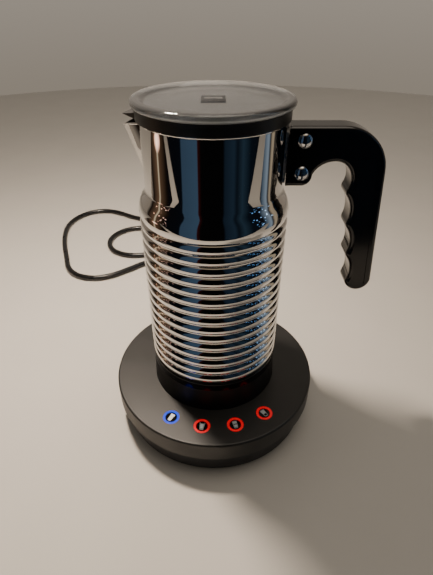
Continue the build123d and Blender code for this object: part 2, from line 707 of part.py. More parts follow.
def whisk_ring():
    """The coiled ring of the whisk, as a plain ring of its outer size, on its spokes."""
    section = Pos(WHISK_RING_R, WHISK_Z) * RegularPolygon(WHISK_WIRE_R, WHISK_WIRE_SIDES)
    wire = revolve(Plane.XZ * section, Axis.Z)
    root = HUB_R - SPOKE_ROOT
    lie = (Align.CENTER, Align.CENTER, Align.MIN)
    spoke = Pos(root, 0, WHISK_Z) * Rot(Y=90) * Cylinder(SPOKE_R, WHISK_RING_R - root, align=lie)
    turns = [SPOKE_ANGLE + i * 360 / SPOKE_COUNT for i in range(SPOKE_COUNT)]
    return joined([wire, *[Rot(Z=turn) * spoke for turn in turns]])


def whisk_hub():
    """The whisk's hub, bored for the pin, with pockets for its magnets."""
    hub = disc(HUB_R, HUB_Z, HUB_Z + HUB_H)
    hub = fillet(hub.edges().sort_by(Axis.Z)[-1], HUB_EDGE_R)
    top_z = HUB_Z + HUB_H + HUB_TOP_H
    hub = hub + disc(HUB_TOP_R, HUB_Z + HUB_H, top_z)
    bore = disc(PIN_R + WHISK_FIT, HUB_Z - 1.0, top_z + 1.0)
    return cut_by(hub, [bore, whisk_ring(), *magnet_places(HUB_Z)])


def whisk_magnets():
    """The magnets in the hub, which follow those on the motor's shaft."""
    return Compound(children=magnet_places(HUB_Z))


# ---- handle ----
def handle_place():
    """The handle's own origin: on the neck's wall, level with its rim."""
    return Pos(NECK_R, 0, NECK_TOP_Z)


def neck_disc(radius, z_low, z_high):
    """A cylinder about the jug's axis, in the handle's own frame."""
    return disc(radius, z_low, z_high, -NECK_R)


def leaning(distance):
    """A place on the outside of the grip, by its distance down from the end of the top corner."""
    lean = math.radians(HANDLE_LEAN)
    x = HANDLE_BEND_X + HANDLE_BEND_R * math.cos(lean) + distance * math.sin(lean)
    z = HANDLE_BEND_Z + HANDLE_BEND_R * math.sin(lean) - distance * math.cos(lean)
    return x, z


def finger_arcs():
    """The inside of the grip from the top crest down: one hollow for each finger."""
    (x0, z0), (x1, z1) = FINGER_FIRST, FINGER_LAST
    length = math.hypot(x1 - x0, z1 - z0)
    across = ((z0 - z1) / length * FINGER_DEPTH, (x1 - x0) / length * FINGER_DEPTH)
    arcs = []
    for i in range(FINGER_COUNT):
        start, middle, end = [
            (x0 + (x1 - x0) * (i + part) / FINGER_COUNT, z0 + (z1 - z0) * (i + part) / FINGER_COUNT)
            for part in (0, 0.5, 1)
        ]
        deep = (middle[0] + across[0], middle[1] + across[1])
        arcs.append(ThreePointArc(start, deep, end))
    return arcs


def handle_outline():
    """The handle seen from the side: block, arch, finger hollows, rounded tip and outer bend."""
    start_x = SADDLE_T - HANDLE_LAP
    bend_start = (HANDLE_BEND_X, HANDLE_TOP_Z)
    lean = math.radians(HANDLE_LEAN)
    half_turn = math.radians(45 + HANDLE_LEAN / 2)
    bend_mid = (
        HANDLE_BEND_X + HANDLE_BEND_R * math.sin(math.pi / 2 - half_turn),
        HANDLE_BEND_Z + HANDLE_BEND_R * math.cos(math.pi / 2 - half_turn),
    )
    bend_end = leaning(0)
    low = leaning((bend_end[1] - HANDLE_LOW_Z) / math.cos(lean))
    tip_low = ((low[0] + FINGER_LAST[0]) / 2, HANDLE_LOW_Z - TIP_R)
    top = Line((start_x, HANDLE_TOP_Z), bend_start)
    bend = ThreePointArc(bend_start, bend_mid, bend_end)
    tip = ThreePointArc(low, tip_low, FINGER_LAST)
    arch = (
        ThreePointArc(FINGER_FIRST, ARCH_SIDE, ARCH_RIGHT),
        Spline(ARCH_RIGHT, ARCH_CROWN, ARCH_LEFT, (BLOCK_CORNER_X, HANDLE_BLOCK_Z + BLOCK_CORNER_R)),
    )
    underside = Polyline(
        (BLOCK_CORNER_X, HANDLE_BLOCK_Z + BLOCK_CORNER_R),
        (BLOCK_CORNER_X, HANDLE_BLOCK_Z),
        (start_x, HANDLE_BLOCK_Z),
        (start_x, HANDLE_TOP_Z),
    )
    edges = [top, bend, Line(bend_end, low), tip, *finger_arcs(), *arch, underside]
    return make_face(Plane.XZ * Curve(edges).wires()[0])


def rounded_outline():
    """The outline with its crests and the block's lower corner rounded."""
    face = handle_outline()
    (x0, z0), (x1, z1) = FINGER_FIRST, FINGER_LAST
    rounds = [((BLOCK_CORNER_X, HANDLE_BLOCK_Z), BLOCK_ROUND_R)]
    for i in range(FINGER_COUNT + 1):
        part = i / FINGER_COUNT
        rounds.append(((x0 + (x1 - x0) * part, z0 + (z1 - z0) * part), FINGER_CREST_R))
    for (x, z), radius in rounds:
        corner = face.vertices().sort_by_distance((x, 0, z))[0]
        face = fillet(corner, radius)
    return face


def edge_groove(side):
    """The shallow line that follows the outside of the handle on one face."""
    inset_r = HANDLE_BEND_R - GROOVE_INSET
    lean = math.radians(HANDLE_LEAN)
    z = HANDLE_TOP_Z - GROOVE_INSET
    half_turn = math.radians(45 + HANDLE_LEAN / 2)
    middle = (HANDLE_BEND_X + inset_r * math.cos(half_turn), HANDLE_BEND_Z + inset_r * math.sin(half_turn))
    end = (HANDLE_BEND_X + inset_r * math.cos(lean), HANDLE_BEND_Z + inset_r * math.sin(lean))
    low = (end[0] + (end[1] - GROOVE_END_Z) * math.tan(lean), GROOVE_END_Z)
    line = Curve(
        [
            Line((GROOVE_START_X, z), (HANDLE_BEND_X, z)),
            ThreePointArc((HANDLE_BEND_X, z), middle, end),
            Line(end, low),
        ]
    )
    face_y = side * HANDLE_T / 2
    mark = extrude(Plane.XZ * trace(line, GROOVE_W), GROOVE_DEPTH, both=True)
    return Pos(0, face_y, 0) * mark


def screw_panel(side):
    """The shallow pocket round the screws on one face of the handle."""
    width, height = PANEL_X[1] - PANEL_X[0], PANEL_Z[1] - PANEL_Z[0]
    centre = Pos(sum(PANEL_X) / 2, side * HANDLE_T / 2, sum(PANEL_Z) / 2)
    outline = Plane.XZ * RectangleRounded(width, height, PANEL_CORNER_R)
    return centre * extrude(outline, PANEL_DEPTH, both=True)


def along_y(radius, y_low, y_high, x, z):
    """A cylinder across the handle."""
    length = y_high - y_low
    lie = (Align.CENTER, Align.CENTER, Align.MIN)
    return Pos(x, y_low, z) * Rot(X=-90) * Cylinder(radius, length, align=lie)


def tab_slot(gap):
    """The space of the bracket's tab, wider by a gap."""
    half = TAB_T / 2 + gap
    z_low, z_high = SADDLE_Z[0] + TAB_MARGIN - gap, SADDLE_Z[1] - TAB_MARGIN + gap
    return block((-1.0, TAB_END_X + gap), (-half, half), (z_low, z_high))


def handle():
    """The moulded handle, hollowed for the bracket, with holes for its screws."""
    body = extrude(rounded_outline(), HANDLE_T / 2, both=True)
    faces = body.faces().filter_by(Axis.Y)
    rims = faces.sort_by(Axis.Y)[0].edges() + faces.sort_by(Axis.Y)[-1].edges()
    body = fillet(rims, HANDLE_EDGE_R)
    near_saddle = neck_disc(SADDLE_R + HANDLE_END_GAP, HANDLE_BLOCK_Z - 1, HANDLE_TOP_Z + 1)
    cutters = [near_saddle, tab_slot(FIT_GAP)]
    for side in (-1, 1):
        cutters += [edge_groove(side), screw_panel(side)]
    for z in HANDLE_SCREW_Z:
        cutters.append(along_y(HANDLE_SCREW_R, -HANDLE_T, HANDLE_T, HANDLE_SCREW_X, z))
    return handle_place() * cut_by(body, cutters)


def handle_bracket():
    """The steel saddle on the jug's neck, with the tab that the handle is screwed to."""
    band = neck_disc(SADDLE_R, *SADDLE_Z) - neck_disc(NECK_R, *SADDLE_Z)
    reach = SADDLE_R * math.sin(math.radians(SADDLE_HALF_ANGLE))
    band = band & block((-NECK_R, SADDLE_T + 1.0), (-reach, reach), SADDLE_Z)
    tab = tab_slot(0) - neck_disc(NECK_R + TAB_WELD, *SADDLE_Z)
    holes = [
        along_y(HANDLE_SCREW_R, -HANDLE_T, HANDLE_T, HANDLE_SCREW_X, z) for z in HANDLE_SCREW_Z
    ]
    return handle_place() * cut_by(band + tab, holes)


def dome(side, z):
    """A slotted dome head on one face of the handle, its slot upright."""
    face_y = side * (HANDLE_T / 2 - PANEL_DEPTH)
    sphere_r = (HANDLE_HEAD_R**2 + HANDLE_HEAD_H**2) / (2 * HANDLE_HEAD_H)
    centre = Pos(HANDLE_SCREW_X, face_y + side * (HANDLE_HEAD_H - sphere_r), z)
    tall = 2 * HANDLE_HEAD_R
    ends = sorted((face_y, face_y + side * tall))
    head = (centre * Sphere(sphere_r)) & along_y(HANDLE_HEAD_R, *ends, HANDLE_SCREW_X, z)
    slot_y = sorted((face_y + side * (HANDLE_HEAD_H - HANDLE_SLOT_DEPTH), face_y + side * tall))
    half = HANDLE_SLOT_W / 2
    slot_x = (HANDLE_SCREW_X - half, HANDLE_SCREW_X + half)
    return head - block(slot_x, slot_y, (z - tall, z + tall))


def handle_screws():
    """The two screws, with their heads at the front."""
    reach = HANDLE_T / 2 - PANEL_DEPTH
    screws = []
    for z in HANDLE_SCREW_Z:
        shank = along_y(HANDLE_SCREW_R, -reach, reach, HANDLE_SCREW_X, z)
        screws.append(handle_place() * (dome(-1, z) + shank))
    return Compound(children=screws)


def handle_nuts():
    """The two slotted nuts on the screws' ends, at the back."""
    return Compound(children=[handle_place() * dome(1, z) for z in HANDLE_SCREW_Z])


# ---- lid ----
def lid_disc():
    """The clear disc of the lid, with a thick rounded rim and a lower middle."""
    middle_z = LID_TOP_Z - LID_DISC_DROP
    rim_x = LID_R - LID_T / 2
    slope_end = LID_DISC_R + LID_RIM_SLOPE
    return turned(
        Line((0, LID_Z), (rim_x, LID_Z)),
        ThreePointArc((rim_x, LID_Z), (LID_R, LID_Z + LID_T / 2), (rim_x, LID_TOP_Z)),
        Line((rim_x, LID_TOP_Z), (slope_end, LID_TOP_Z)),
        Polyline((slope_end, LID_TOP_Z), (LID_DISC_R, middle_z), (0, middle_z), (0, LID_Z)),
    )


def beak():
    """The pointed cover over the spout, which the seal carries."""
    side_x, side_y = around(NECK_R, 180 - BEAK_HALF_ANGLE)
    high, low = (side_x, BEAK_TIP_Z + BEAK_RISE), (side_x, BEAK_TIP_Z - BEAK_DROP)
    side = make_face(Plane.XZ * Polyline((BEAK_TIP_X, BEAK_TIP_Z), high, low, close=True))
    plan = make_face(Polyline((BEAK_TIP_X - 0.5, 0), (side_x, side_y), (side_x, -side_y), close=True))
    tall = extrude(Pos(0, 0, SEAL_Z) * plan, LID_Z - SEAL_Z)
    return extrude(side, side_y, both=True) & tall


def lid_seal():
    """The black ring under the disc: a flange over the rim, a plug inside the neck and the beak."""
    plug_r = NECK_R - NECK_WALL - SEAL_PLUG_GAP
    plug_z = NECK_TOP_Z - SEAL_PLUG_DEPTH
    solid = disc(SEAL_R, SEAL_Z, LID_Z) + disc(plug_r, plug_z, SEAL_Z) + beak()
    return solid - disc(plug_r - SEAL_T, plug_z - 1.0, LID_Z + 1.0)


def lid_badge():
    """The small plain plate in the middle of the lid."""
    low_z = LID_TOP_Z - LID_DISC_DROP
    width, depth, height = BADGE_SIZE
    outline = Pos(0, 0, low_z) * RectangleRounded(width, depth, BADGE_CORNER)
    return extrude(outline, height)


# ---- mains lead ----
def cord_strain_relief():
    """The tapered rubber sleeve that the lead leaves the base through."""
    lie = (Align.CENTER, Align.CENTER, Align.MIN)
    cone = Cone(GLAND_R, GLAND_TIP_R, EXIT_Y - GLAND_WALL_Y, align=lie)
    taper = Pos(0, GLAND_WALL_Y, GLAND_Z) * Rot(X=-90) * cone
    flange_y = LOWER_R - GLAND_BORE_IN + FIT_GAP
    flange = gland_cylinder(GLAND_FLANGE_R, flange_y, flange_y + GLAND_FLANGE_T)
    sleeve = gland_cylinder(GLAND_R, flange_y, GLAND_WALL_Y)
    return taper + flange + sleeve


def cord_radii():
    """The radius of the arc at each corner of the route, from the shorter of its two runs."""
    points = [Vector(*point) for point in CORD_ROUTE]
    radii = []
    for before, here, after in zip(points, points[1:], points[2:]):
        run_in, run_out = here - before, after - here
        half_turn = math.radians(run_in.get_angle(run_out)) / 2
        radii.append(0.45 * min(run_in.length, run_out.length) / math.tan(half_turn))
    return radii


def power_cord():
    """The mains lead, as a plain tube along its route."""
    radii = cord_radii()
    print("cord radii", [round(radius, 1) for radius in radii])
    path = FilletPolyline(*CORD_ROUTE, radius=radii)
    start = Plane(origin=CORD_ROUTE[0], z_dir=path % 0)
    tube = sweep(start * Circle(CORD_D / 2), path)
    section = math.pi * (CORD_D / 2) ** 2
    ratio = tube.volume / section / path.length
    print("cord length", round(path.length, 1), "volume ratio", round(ratio, 4))
    return tube


def plug_place():
    """The place and direction of the plug: +X of this location runs out of its pins."""
    last, before = Vector(*CORD_ROUTE[-1]), Vector(*CORD_ROUTE[-2])
    heading = last - before
    level = Vector(heading.X, heading.Y, 0).normalized()
    return Plane(origin=last, x_dir=level, z_dir=(0, 0, 1)).location


def mains_plug():
    """The flat moulded body of the plug with its tapered tail."""
    length, width, height = PLUG_BODY
    body = Pos(PLUG_TAIL_L + length / 2, 0, 0) * Box(length, width, height)
    body = fillet(body.edges().filter_by(Axis.X), PLUG_CORNER)
    back = body.edges().group_by(Axis.X)[0]
    body = fillet(back, PLUG_BACK_R)
    lie = (Align.CENTER, Align.CENTER, Align.MIN)
    tail = Rot(Y=90) * Cone(*PLUG_TAIL_R, PLUG_TAIL_L + PLUG_TAIL_LAP, align=lie)
    return plug_place() * (body + tail)


def plug_pins():
    """The two round pins of the plug."""
    start = PLUG_TAIL_L + PLUG_BODY[0]
    lie = (Align.CENTER, Align.CENTER, Align.MIN)
    pins = []
    for side in (-1, 1):
        pin = Rot(Y=90) * Cylinder(PLUG_PIN_R, PLUG_PIN_L, align=lie)
        pin = chamfer(pin.edges().sort_by(Axis.X)[-1], PLUG_PIN_TIP)
        pins.append(plug_place() * Pos(start, side * PIN_SPACING / 2, 0) * pin)
    return Compound(children=pins)


NODES = {
    "base_top_cover": base_top_cover,
    "base_bottom_cover": base_bottom_cover,
    "foot_ring": foot_ring,
    "cover_screws": cover_screws,
    "plinth_collar": plinth_collar,
    "induction_coil": induction_coil,
    "coil_carrier": coil_carrier,
    "ferrite_bars": ferrite_bars,
    "base_chassis": base_chassis,
    "motor_can": motor_can,
    "motor_shaft": motor_shaft,
    "magnet_carrier": magnet_carrier,
    "drive_magnets": drive_magnets,
    "power_board": power_board,
    "power_components": power_components,
    "control_board": control_board,
    "button_switches": button_switches,
    "jug_shell": jug_shell,
    "inner_vessel": inner_vessel,
    "jug_bottom_cap": jug_bottom_cap,
    "whisk_pin": whisk_pin,
    "whisk_ring": whisk_ring,
    "whisk_hub": whisk_hub,
    "whisk_magnets": whisk_magnets,
    "handle": handle,
    "handle_bracket": handle_bracket,
    "handle_screws": handle_screws,
    "handle_nuts": handle_nuts,
    "lid_disc": lid_disc,
    "lid_seal": lid_seal,
    "lid_badge": lid_badge,
    "cord_strain_relief": cord_strain_relief,
    "power_cord": power_cord,
    "mains_plug": mains_plug,
    "plug_pins": plug_pins,
}


def main():
    """Write every sub-part to its own STEP file."""
    os.makedirs("parts", exist_ok=True)
    shapes = {name: make() for name, make in NODES.items()}
    for name, (x, y) in zip(BUTTON_NAMES, button_places()):
        shapes[f"{name}_button"] = button_cap(x, y)
        shapes[f"{name}_light_ring"] = light_ring(x, y)
    for name, shape in shapes.items():
        export_step(shape, f"parts/{name}.step")


main()
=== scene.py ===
# %% [markdown]
# # Milk frother
# A jug of mirror-polished steel with a clear lid and a black handle stands on a round black heating base.
# The CAD model gives every size and place. This script gives the pieces their looks: it turns the steel
# jug finely enough for its reflections, lays the mains lead, moulds the small trim, and makes a material
# for each finish. Lengths are metres, and a name that ends in _MM is millimetres.

# %% Load the frame
import math

import bmesh
import bpy
from mathutils import Matrix, Vector


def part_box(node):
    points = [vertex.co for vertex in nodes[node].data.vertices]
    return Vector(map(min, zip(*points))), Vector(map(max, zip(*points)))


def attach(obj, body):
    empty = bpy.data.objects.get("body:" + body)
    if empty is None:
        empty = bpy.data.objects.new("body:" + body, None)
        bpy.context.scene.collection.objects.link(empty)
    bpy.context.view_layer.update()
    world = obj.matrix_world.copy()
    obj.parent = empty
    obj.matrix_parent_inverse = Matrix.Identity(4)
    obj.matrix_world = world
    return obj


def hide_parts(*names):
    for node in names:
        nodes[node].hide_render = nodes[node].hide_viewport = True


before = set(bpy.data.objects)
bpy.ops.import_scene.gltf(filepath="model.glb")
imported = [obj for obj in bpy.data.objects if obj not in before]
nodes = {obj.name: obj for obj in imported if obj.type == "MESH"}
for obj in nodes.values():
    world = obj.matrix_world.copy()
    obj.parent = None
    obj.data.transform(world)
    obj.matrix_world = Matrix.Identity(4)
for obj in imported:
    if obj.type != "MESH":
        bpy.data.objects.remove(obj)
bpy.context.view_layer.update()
MM = 0.001

# %% [markdown]
# ## The camera
# It stands close in front and looks down on the frother, with a fairly short lens, so the lid looks wide
# and the base falls away below it.

# %% Camera
CAMERA_PLACE = (0.00164, -0.23325, 0.26905)
CAMERA_DOWN_DEG = 35.26
LENS_MM = 26.85
SENSOR_MM = 36.0
NEAREST = 0.01

camera_data = bpy.data.cameras.new("camera")
camera = bpy.data.objects.new("camera", camera_data)
bpy.context.scene.collection.objects.link(camera)
camera.location = CAMERA_PLACE
camera.rotation_euler = (math.radians(90 - CAMERA_DOWN_DEG), 0, 0)
camera_data.lens = LENS_MM
camera_data.sensor_width = SENSOR_MM
camera_data.clip_start = NEAREST
bpy.context.scene.camera = camera

# %% [markdown]
# ## The mains lead
# A 6 mm PVC lead is springy, so it lies in wide curves. A NURBS curve has no corners. Its control points are
# those of the CAD lead, and its order is set after they are in, because a new spline would clamp it.

# %% Lead
CORD_D_MM = 6.0
CORD_ROUTE_MM = (
    (0.0, 97.0, 9.5),
    (0.0, 116.0, 8.9),
    (-2.0, 137.0, 5.2),
    (-7.5, 158.0, 3.0),
    (-18.0, 178.5, 3.0),
    (-34.5, 194.5, 3.0),
    (-57.0, 201.5, 3.0),
    (-79.5, 195.0, 3.0),
    (-98.0, 179.5, 3.0),
    (-115.5, 165.5, 3.0),
    (-135.0, 160.0, 3.0),
    (-154.5, 165.5, 3.0),
    (-169.0, 181.5, 3.0),
    (-177.0, 205.0, 3.0),
    (-187.0, 231.0, 3.0),
    (-195.0, 258.5, 3.0),
    (-199.0, 286.0, 3.0),
    (-194.0, 310.0, 3.0),
    (-179.0, 329.0, 3.0),
    (-156.0, 335.5, 3.0),
    (-133.5, 326.5, 3.0),
    (-112.0, 311.0, 3.0),
    (-86.0, 301.5, 3.0),
    (-57.0, 299.0, 3.0),
    (-28.5, 294.5, 3.0),
    (-3.0, 286.0, 3.0),
    (16.0, 272.5, 3.0),
    (24.5, 251.5, 3.0),
    (20.0, 229.0, 3.0),
    (4.0, 213.5, 3.0),
    (-18.5, 209.5, 3.0),
    (-45.0, 214.5, 3.0),
    (-71.0, 215.5, 3.0),
    (-95.0, 208.5, 3.0),
    (-116.5, 213.5, 3.0),
    (-131.0, 229.5, 3.0),
    (-134.5, 250.5, 3.0),
    (-125.5, 270.0, 3.0),
    (-107.0, 281.0, 3.0),
    (-84.0, 279.5, 4.2),
    (-64.0, 272.5, 6.85),
)


def make_lead():
    """The lead as a round NURBS curve."""
    curve = bpy.data.curves.new("mains_lead", "CURVE")
    curve.dimensions = "3D"
    spline = curve.splines.new("NURBS")
    spline.points.add(len(CORD_ROUTE_MM) - 1)
    for point, (x, y, z) in zip(spline.points, CORD_ROUTE_MM):
        point.co = (x * MM, y * MM, z * MM, 1.0)
    spline.order_u = 3
    spline.use_endpoint_u = True
    spline.resolution_u = 8
    curve.bevel_depth = CORD_D_MM / 2 * MM
    curve.bevel_resolution = 6
    curve.use_fill_caps = True
    lead = bpy.data.objects.new("mains_lead", curve)
    bpy.context.scene.collection.objects.link(lead)
    print("lead", round(spline.calc_length(), 4), "m")
    return lead


lead = make_lead()

# %% [markdown]
# ## Small helpers for shapes
# Round pieces are turned: a profile of radius and height is spun about an axis, as a lathe would make it.
# A closed profile gives a closed piece. Edges sharper than an angle are marked sharp, so that the rest can
# be shaded smooth.


# %% Shape helpers
def finish_mesh(name, bm, body, sharp_deg=30.0):
    """A finished object from a bmesh, at the origin, which rides on a body."""
    bmesh.ops.remove_doubles(bm, verts=bm.verts, dist=1e-7)
    bmesh.ops.recalc_face_normals(bm, faces=bm.faces)
    limit = math.radians(sharp_deg)
    for face in bm.faces:
        face.smooth = True
    for edge in bm.edges:
        edge.smooth = len(edge.link_faces) == 2 and edge.calc_face_angle() < limit
    mesh = bpy.data.meshes.new(name)
    bm.to_mesh(mesh)
    bm.free()
    piece = bpy.data.objects.new(name, mesh)
    bpy.context.scene.collection.objects.link(piece)
    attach(piece, body)
    print(name, len(mesh.vertices), "vertices")
    return piece


def turn(profile_mm, steps, closed=True):
    """A bmesh spun about Z from points of radius and height in millimetres."""
    bm = bmesh.new()
    points = [bm.verts.new((r * MM, 0, z * MM)) for r, z in profile_mm]
    for a, b in zip(points, points[1:]):
        bm.edges.new((a, b))
    if closed:
        bm.edges.new((points[-1], points[0]))
    bmesh.ops.spin(
        bm,
        geom=bm.verts[:] + bm.edges[:],
        cent=(0, 0, 0),
        axis=(0, 0, 1),
        angle=math.tau,
        steps=steps,
        use_merge=True,
    )
    return bm


def arc(centre, radius, start_deg, end_deg, count):
    """Points on an arc of a profile."""
    points = []
    for i in range(count + 1):
        angle = math.radians(start_deg + (end_deg - start_deg) * i / count)
        points.append((centre[0] + radius * math.cos(angle), centre[1] + radius * math.sin(angle)))
    return points


def box_mm(bm, size, centre, bevel_mm=0.0, segments=3):
    """A box with bevelled edges in a bmesh, in millimetres."""
    made = bmesh.ops.create_cube(bm, size=1.0)["verts"]
    bmesh.ops.scale(bm, vec=Vector(size) * MM, verts=made)
    bmesh.ops.translate(bm, vec=Vector(centre) * MM, verts=made)
    if bevel_mm:
        edges = list({edge for vert in made for edge in vert.link_edges})
        bmesh.ops.bevel(
            bm,
            geom=edges,
            offset=bevel_mm * MM,
            affect="EDGES",
            segments=segments,
            profile=0.5,
            material=-1,
        )
    return bm


# %% [markdown]
# ## Colours and nodes
# Colours are written as the sRGB hex values a designer would use, and one function turns them into the
# linear values that shaders take. One more function adds a node, sets it and links it.


# %% Material helpers
def linear(hex_colour):
    """Linear RGBA from an sRGB hex string."""
    values = [int(hex_colour[i : i + 2], 16) / 255 for i in (1, 3, 5)]
    return [v / 12.92 if v <= 0.04045 else ((v + 0.055) / 1.055) ** 2.4 for v in values] + [1.0]


def add(tree, kind, inputs=None, **settings):
    """A node with its settings; an input given as a socket is linked, and any other is set."""
    made = tree.nodes.new(kind)
    for name, value in settings.items():
        setattr(made, name, value)
    for name, value in (inputs or {}).items():
        if isinstance(value, bpy.types.NodeSocket):
            tree.links.new(value, made.inputs[name])
        else:
            made.inputs[name].default_value = value
    return made


def new_material(name, **inputs):
    """A material with a Principled shader, whose inputs are named with underscores."""
    material = bpy.data.materials.new(name)
    material.use_nodes = True
    tree = material.node_tree
    shader = tree.nodes["Principled BSDF"]
    for key, value in inputs.items():
        shader.inputs[key.replace("_", " ")].default_value = value
    return material, tree, shader


def per_metre(size_mm):
    """The scale of a pattern whose features are this many millimetres apart."""
    return 1000.0 / size_mm


def noise(tree, size_mm, detail=2.0):
    """A noise texture on the object's own coordinates, with features of a real size."""
    place = add(tree, "ShaderNodeTexCoord").outputs["Object"]
    inputs = {"Vector": place, "Scale": per_metre(size_mm), "Detail": detail}
    return add(tree, "ShaderNodeTexNoise", inputs).outputs["Fac"]


def spread(tree, value, low, high):
    """A value from 0.3 to 0.7 spread over a range."""
    inputs = {"Value": value, "From Min": 0.3, "From Max": 0.7, "To Min": low, "To Max": high}
    return add(tree, "ShaderNodeMapRange", inputs).outputs["Result"]


def bump(tree, shader, height, strength, depth_mm):
    """Relief of a real depth on a shader."""
    inputs = {"Height": height, "Strength": strength, "Distance": depth_mm * MM}
    tree.links.new(add(tree, "ShaderNodeBump", inputs).outputs["Normal"], shader.inputs["Normal"])


def tint(tree, shader, factor, dark, light):
    """Two close shades of a colour, mixed by a factor, as the base colour."""
    ramp = add(tree, "ShaderNodeValToRGB", {"Fac": factor})
    ramp.color_ramp.elements[0].color = linear(dark)
    ramp.color_ramp.elements[1].color = linear(light)
    tree.links.new(ramp.outputs["Color"], shader.inputs["Base Color"])


# %% [markdown]
# ## Plastics
# The covers are injection-moulded ABS. The upper one has a satin, spark-eroded grain that spreads the light
# into a soft grey glow; the lower one is rougher and looks bluish grey. The handle and the buttons are
# polished, so they are nearly black with clear reflections. One function makes them all from two close
# shades, a roughness and the size and depth of the grain.


# %% Plastics
GLOSS_PATCH_MM = 18.0
GLOSS_UNEVEN = 0.1


def moulded(name, dark, light, rough, grain_mm, depth_mm, strength=0.6, specular=0.5):
    """A moulded plastic with a fine grain and slightly uneven gloss."""
    material, tree, shader = new_material(name, IOR=1.5, Specular_IOR_Level=specular)
    grain = noise(tree, grain_mm, detail=3.0)
    patches = noise(tree, GLOSS_PATCH_MM)
    tint(tree, shader, grain, dark, light)
    uneven = spread(tree, patches, rough * (1 - GLOSS_UNEVEN), rough * (1 + GLOSS_UNEVEN))
    tree.links.new(uneven, shader.inputs["Roughness"])
    bump(tree, shader, grain, strength, depth_mm)
    return material


satin_abs = moulded("satin_moulded_abs", "#0c0c0c", "#111110", 0.47, 0.45, 0.012, specular=0.6)
matte_abs = moulded("matte_moulded_abs", "#121317", "#18191e", 0.55, 0.5, 0.014, specular=0.35)
collar_abs = moulded(
    "black_abs_with_polished_edge", "#060607", "#0a0a0b", 0.5, 0.5, 0.008, strength=0.4, specular=0.35
)
gloss_abs = moulded("polished_black_abs", "#050506", "#080809", 0.09, 30.0, 0.02, strength=0.1)
handle_plastic = moulded("polished_handle_pbt", "#060607", "#0a0a0b", 0.13, 22.0, 0.03, strength=0.12)
nylon = moulded("natural_glass_filled_nylon", "#c9c1ae", "#d8d2c2", 0.5, 0.8, 0.01)
part_black = moulded("black_epoxy_moulding", "#141518", "#1e2024", 0.45, 0.6, 0.01)
cord_pvc = moulded("extruded_black_pvc", "#0b0b0c", "#111113", 0.28, 1.4, 0.02, strength=0.35)
rubber = moulded("moulded_rubber", "#171717", "#202020", 0.7, 0.5, 0.02)
seal_rubber = moulded("soft_silicone", "#0a0a0b", "#101011", 0.38, 0.7, 0.01)
button_gloss = moulded("button_polished_abs", "#050506", "#09090a", 0.12, 6.0, 0.005, strength=0.1)
icon_grey = moulded("printed_grey_ink", "#c6c9cd", "#d6d9dd", 0.45, 0.3, 0.004)
# The same ink made lighter for the first button's symbol: painted light, as that symbol stands in the lamp's
# light while the jug shades the others.
icon_ink_painted_lit = moulded("white_ink_painted_lit", "#d9dde2", "#eef0f2", 0.4, 0.3, 0.004)

# %% [markdown]
# The collar is satin like the covers, but its top few millimetres, against the steel jug, are polished. Its
# roughness therefore changes with height: a step in the Z of its object coordinates.

# %% Polished edge
COLLAR_POLISHED_MM = 51.5
POLISH_FADE_MM = 1.0
POLISHED_ROUGH = 0.1


def polish_above(material, height_mm, rough):
    """Makes a material glossy above a height, with a short fade."""
    tree = material.node_tree
    shader = tree.nodes["Principled BSDF"]
    satin = shader.inputs["Roughness"].links[0].from_socket
    place = add(tree, "ShaderNodeTexCoord").outputs["Object"]
    height = add(tree, "ShaderNodeSeparateXYZ", {"Vector": place}).outputs["Z"]
    low, high = (height_mm - POLISH_FADE_MM / 2) * MM, (height_mm + POLISH_FADE_MM / 2) * MM
    step = add(tree, "ShaderNodeMapRange", {"Value": height, "From Min": low, "From Max": high})
    mixed = add(tree, "ShaderNodeMix", {"Factor": step.outputs["Result"], "A": satin, "B": rough})
    tree.links.new(mixed.outputs["Result"], shader.inputs["Roughness"])


polish_above(collar_abs, COLLAR_POLISHED_MM, POLISHED_ROUGH)

# %% [markdown]
# ## Metals
# The jug is stainless steel, deep-drawn and mirror-polished: nearly white, hardly rough, with faint
# polishing haze and the slightest unevenness, which makes its reflections swim. Brushed and plated pieces
# are rougher, and a metal keeps its default IOR.


# %% Metals
def metal(name, dark, light, rough, grain_mm, depth_mm, strength=0.2, stretch=(1.0, 1.0, 1.0)):
    """A metal whose grain can be stretched along an axis, as brushing does."""
    material, tree, shader = new_material(name, Metallic=1.0)
    place = add(tree, "ShaderNodeTexCoord").outputs["Object"]
    scaled = add(tree, "ShaderNodeMapping", {"Vector": place, "Scale": stretch}).outputs["Vector"]
    inputs = {"Vector": scaled, "Scale": per_metre(grain_mm), "Detail": 3.0}
    grain = add(tree, "ShaderNodeTexNoise", inputs).outputs["Fac"]
    tint(tree, shader, grain, dark, light)
    tree.links.new(spread(tree, grain, rough * 0.7, rough * 1.3), shader.inputs["Roughness"])
    bump(tree, shader, grain, strength, depth_mm)
    return material


polished_steel = metal("mirror_polished_stainless", "#d6d4d2", "#e2e0de", 0.035, 16.0, 0.02, 0.05)
vessel_steel = metal("brushed_stainless", "#a9a9aa", "#bdbdbe", 0.28, 0.4, 0.004, 0.3, (1.0, 1.0, 0.05))
zinc_steel = metal("zinc_plated_steel", "#9aa0a4", "#b4b8ba", 0.33, 1.2, 0.006)
chrome = metal("polished_chrome", "#d4d5d8", "#dedfe2", 0.06, 8.0, 0.004, 0.05)
badge_plate = metal("dark_satin_plate", "#4a4c50", "#5a5c60", 0.3, 0.4, 0.003)
magnet_nickel = metal("nickel_plated_magnet", "#b9b7b2", "#cac8c4", 0.2, 2.0, 0.003)
pin_brass = metal("nickel_plated_brass", "#c3beb2", "#d2cdc2", 0.22, 1.5, 0.003)

# %% [markdown]
# ## Coatings and the rest
# The inner vessel has a sprayed non-stick coat with fine pale specks. The coil is lacquered copper litz,
# wound in rings a wire apart. The boards are green solder mask, and the bars under the coil are fired
# ferrite, which is dark and slightly glittering.


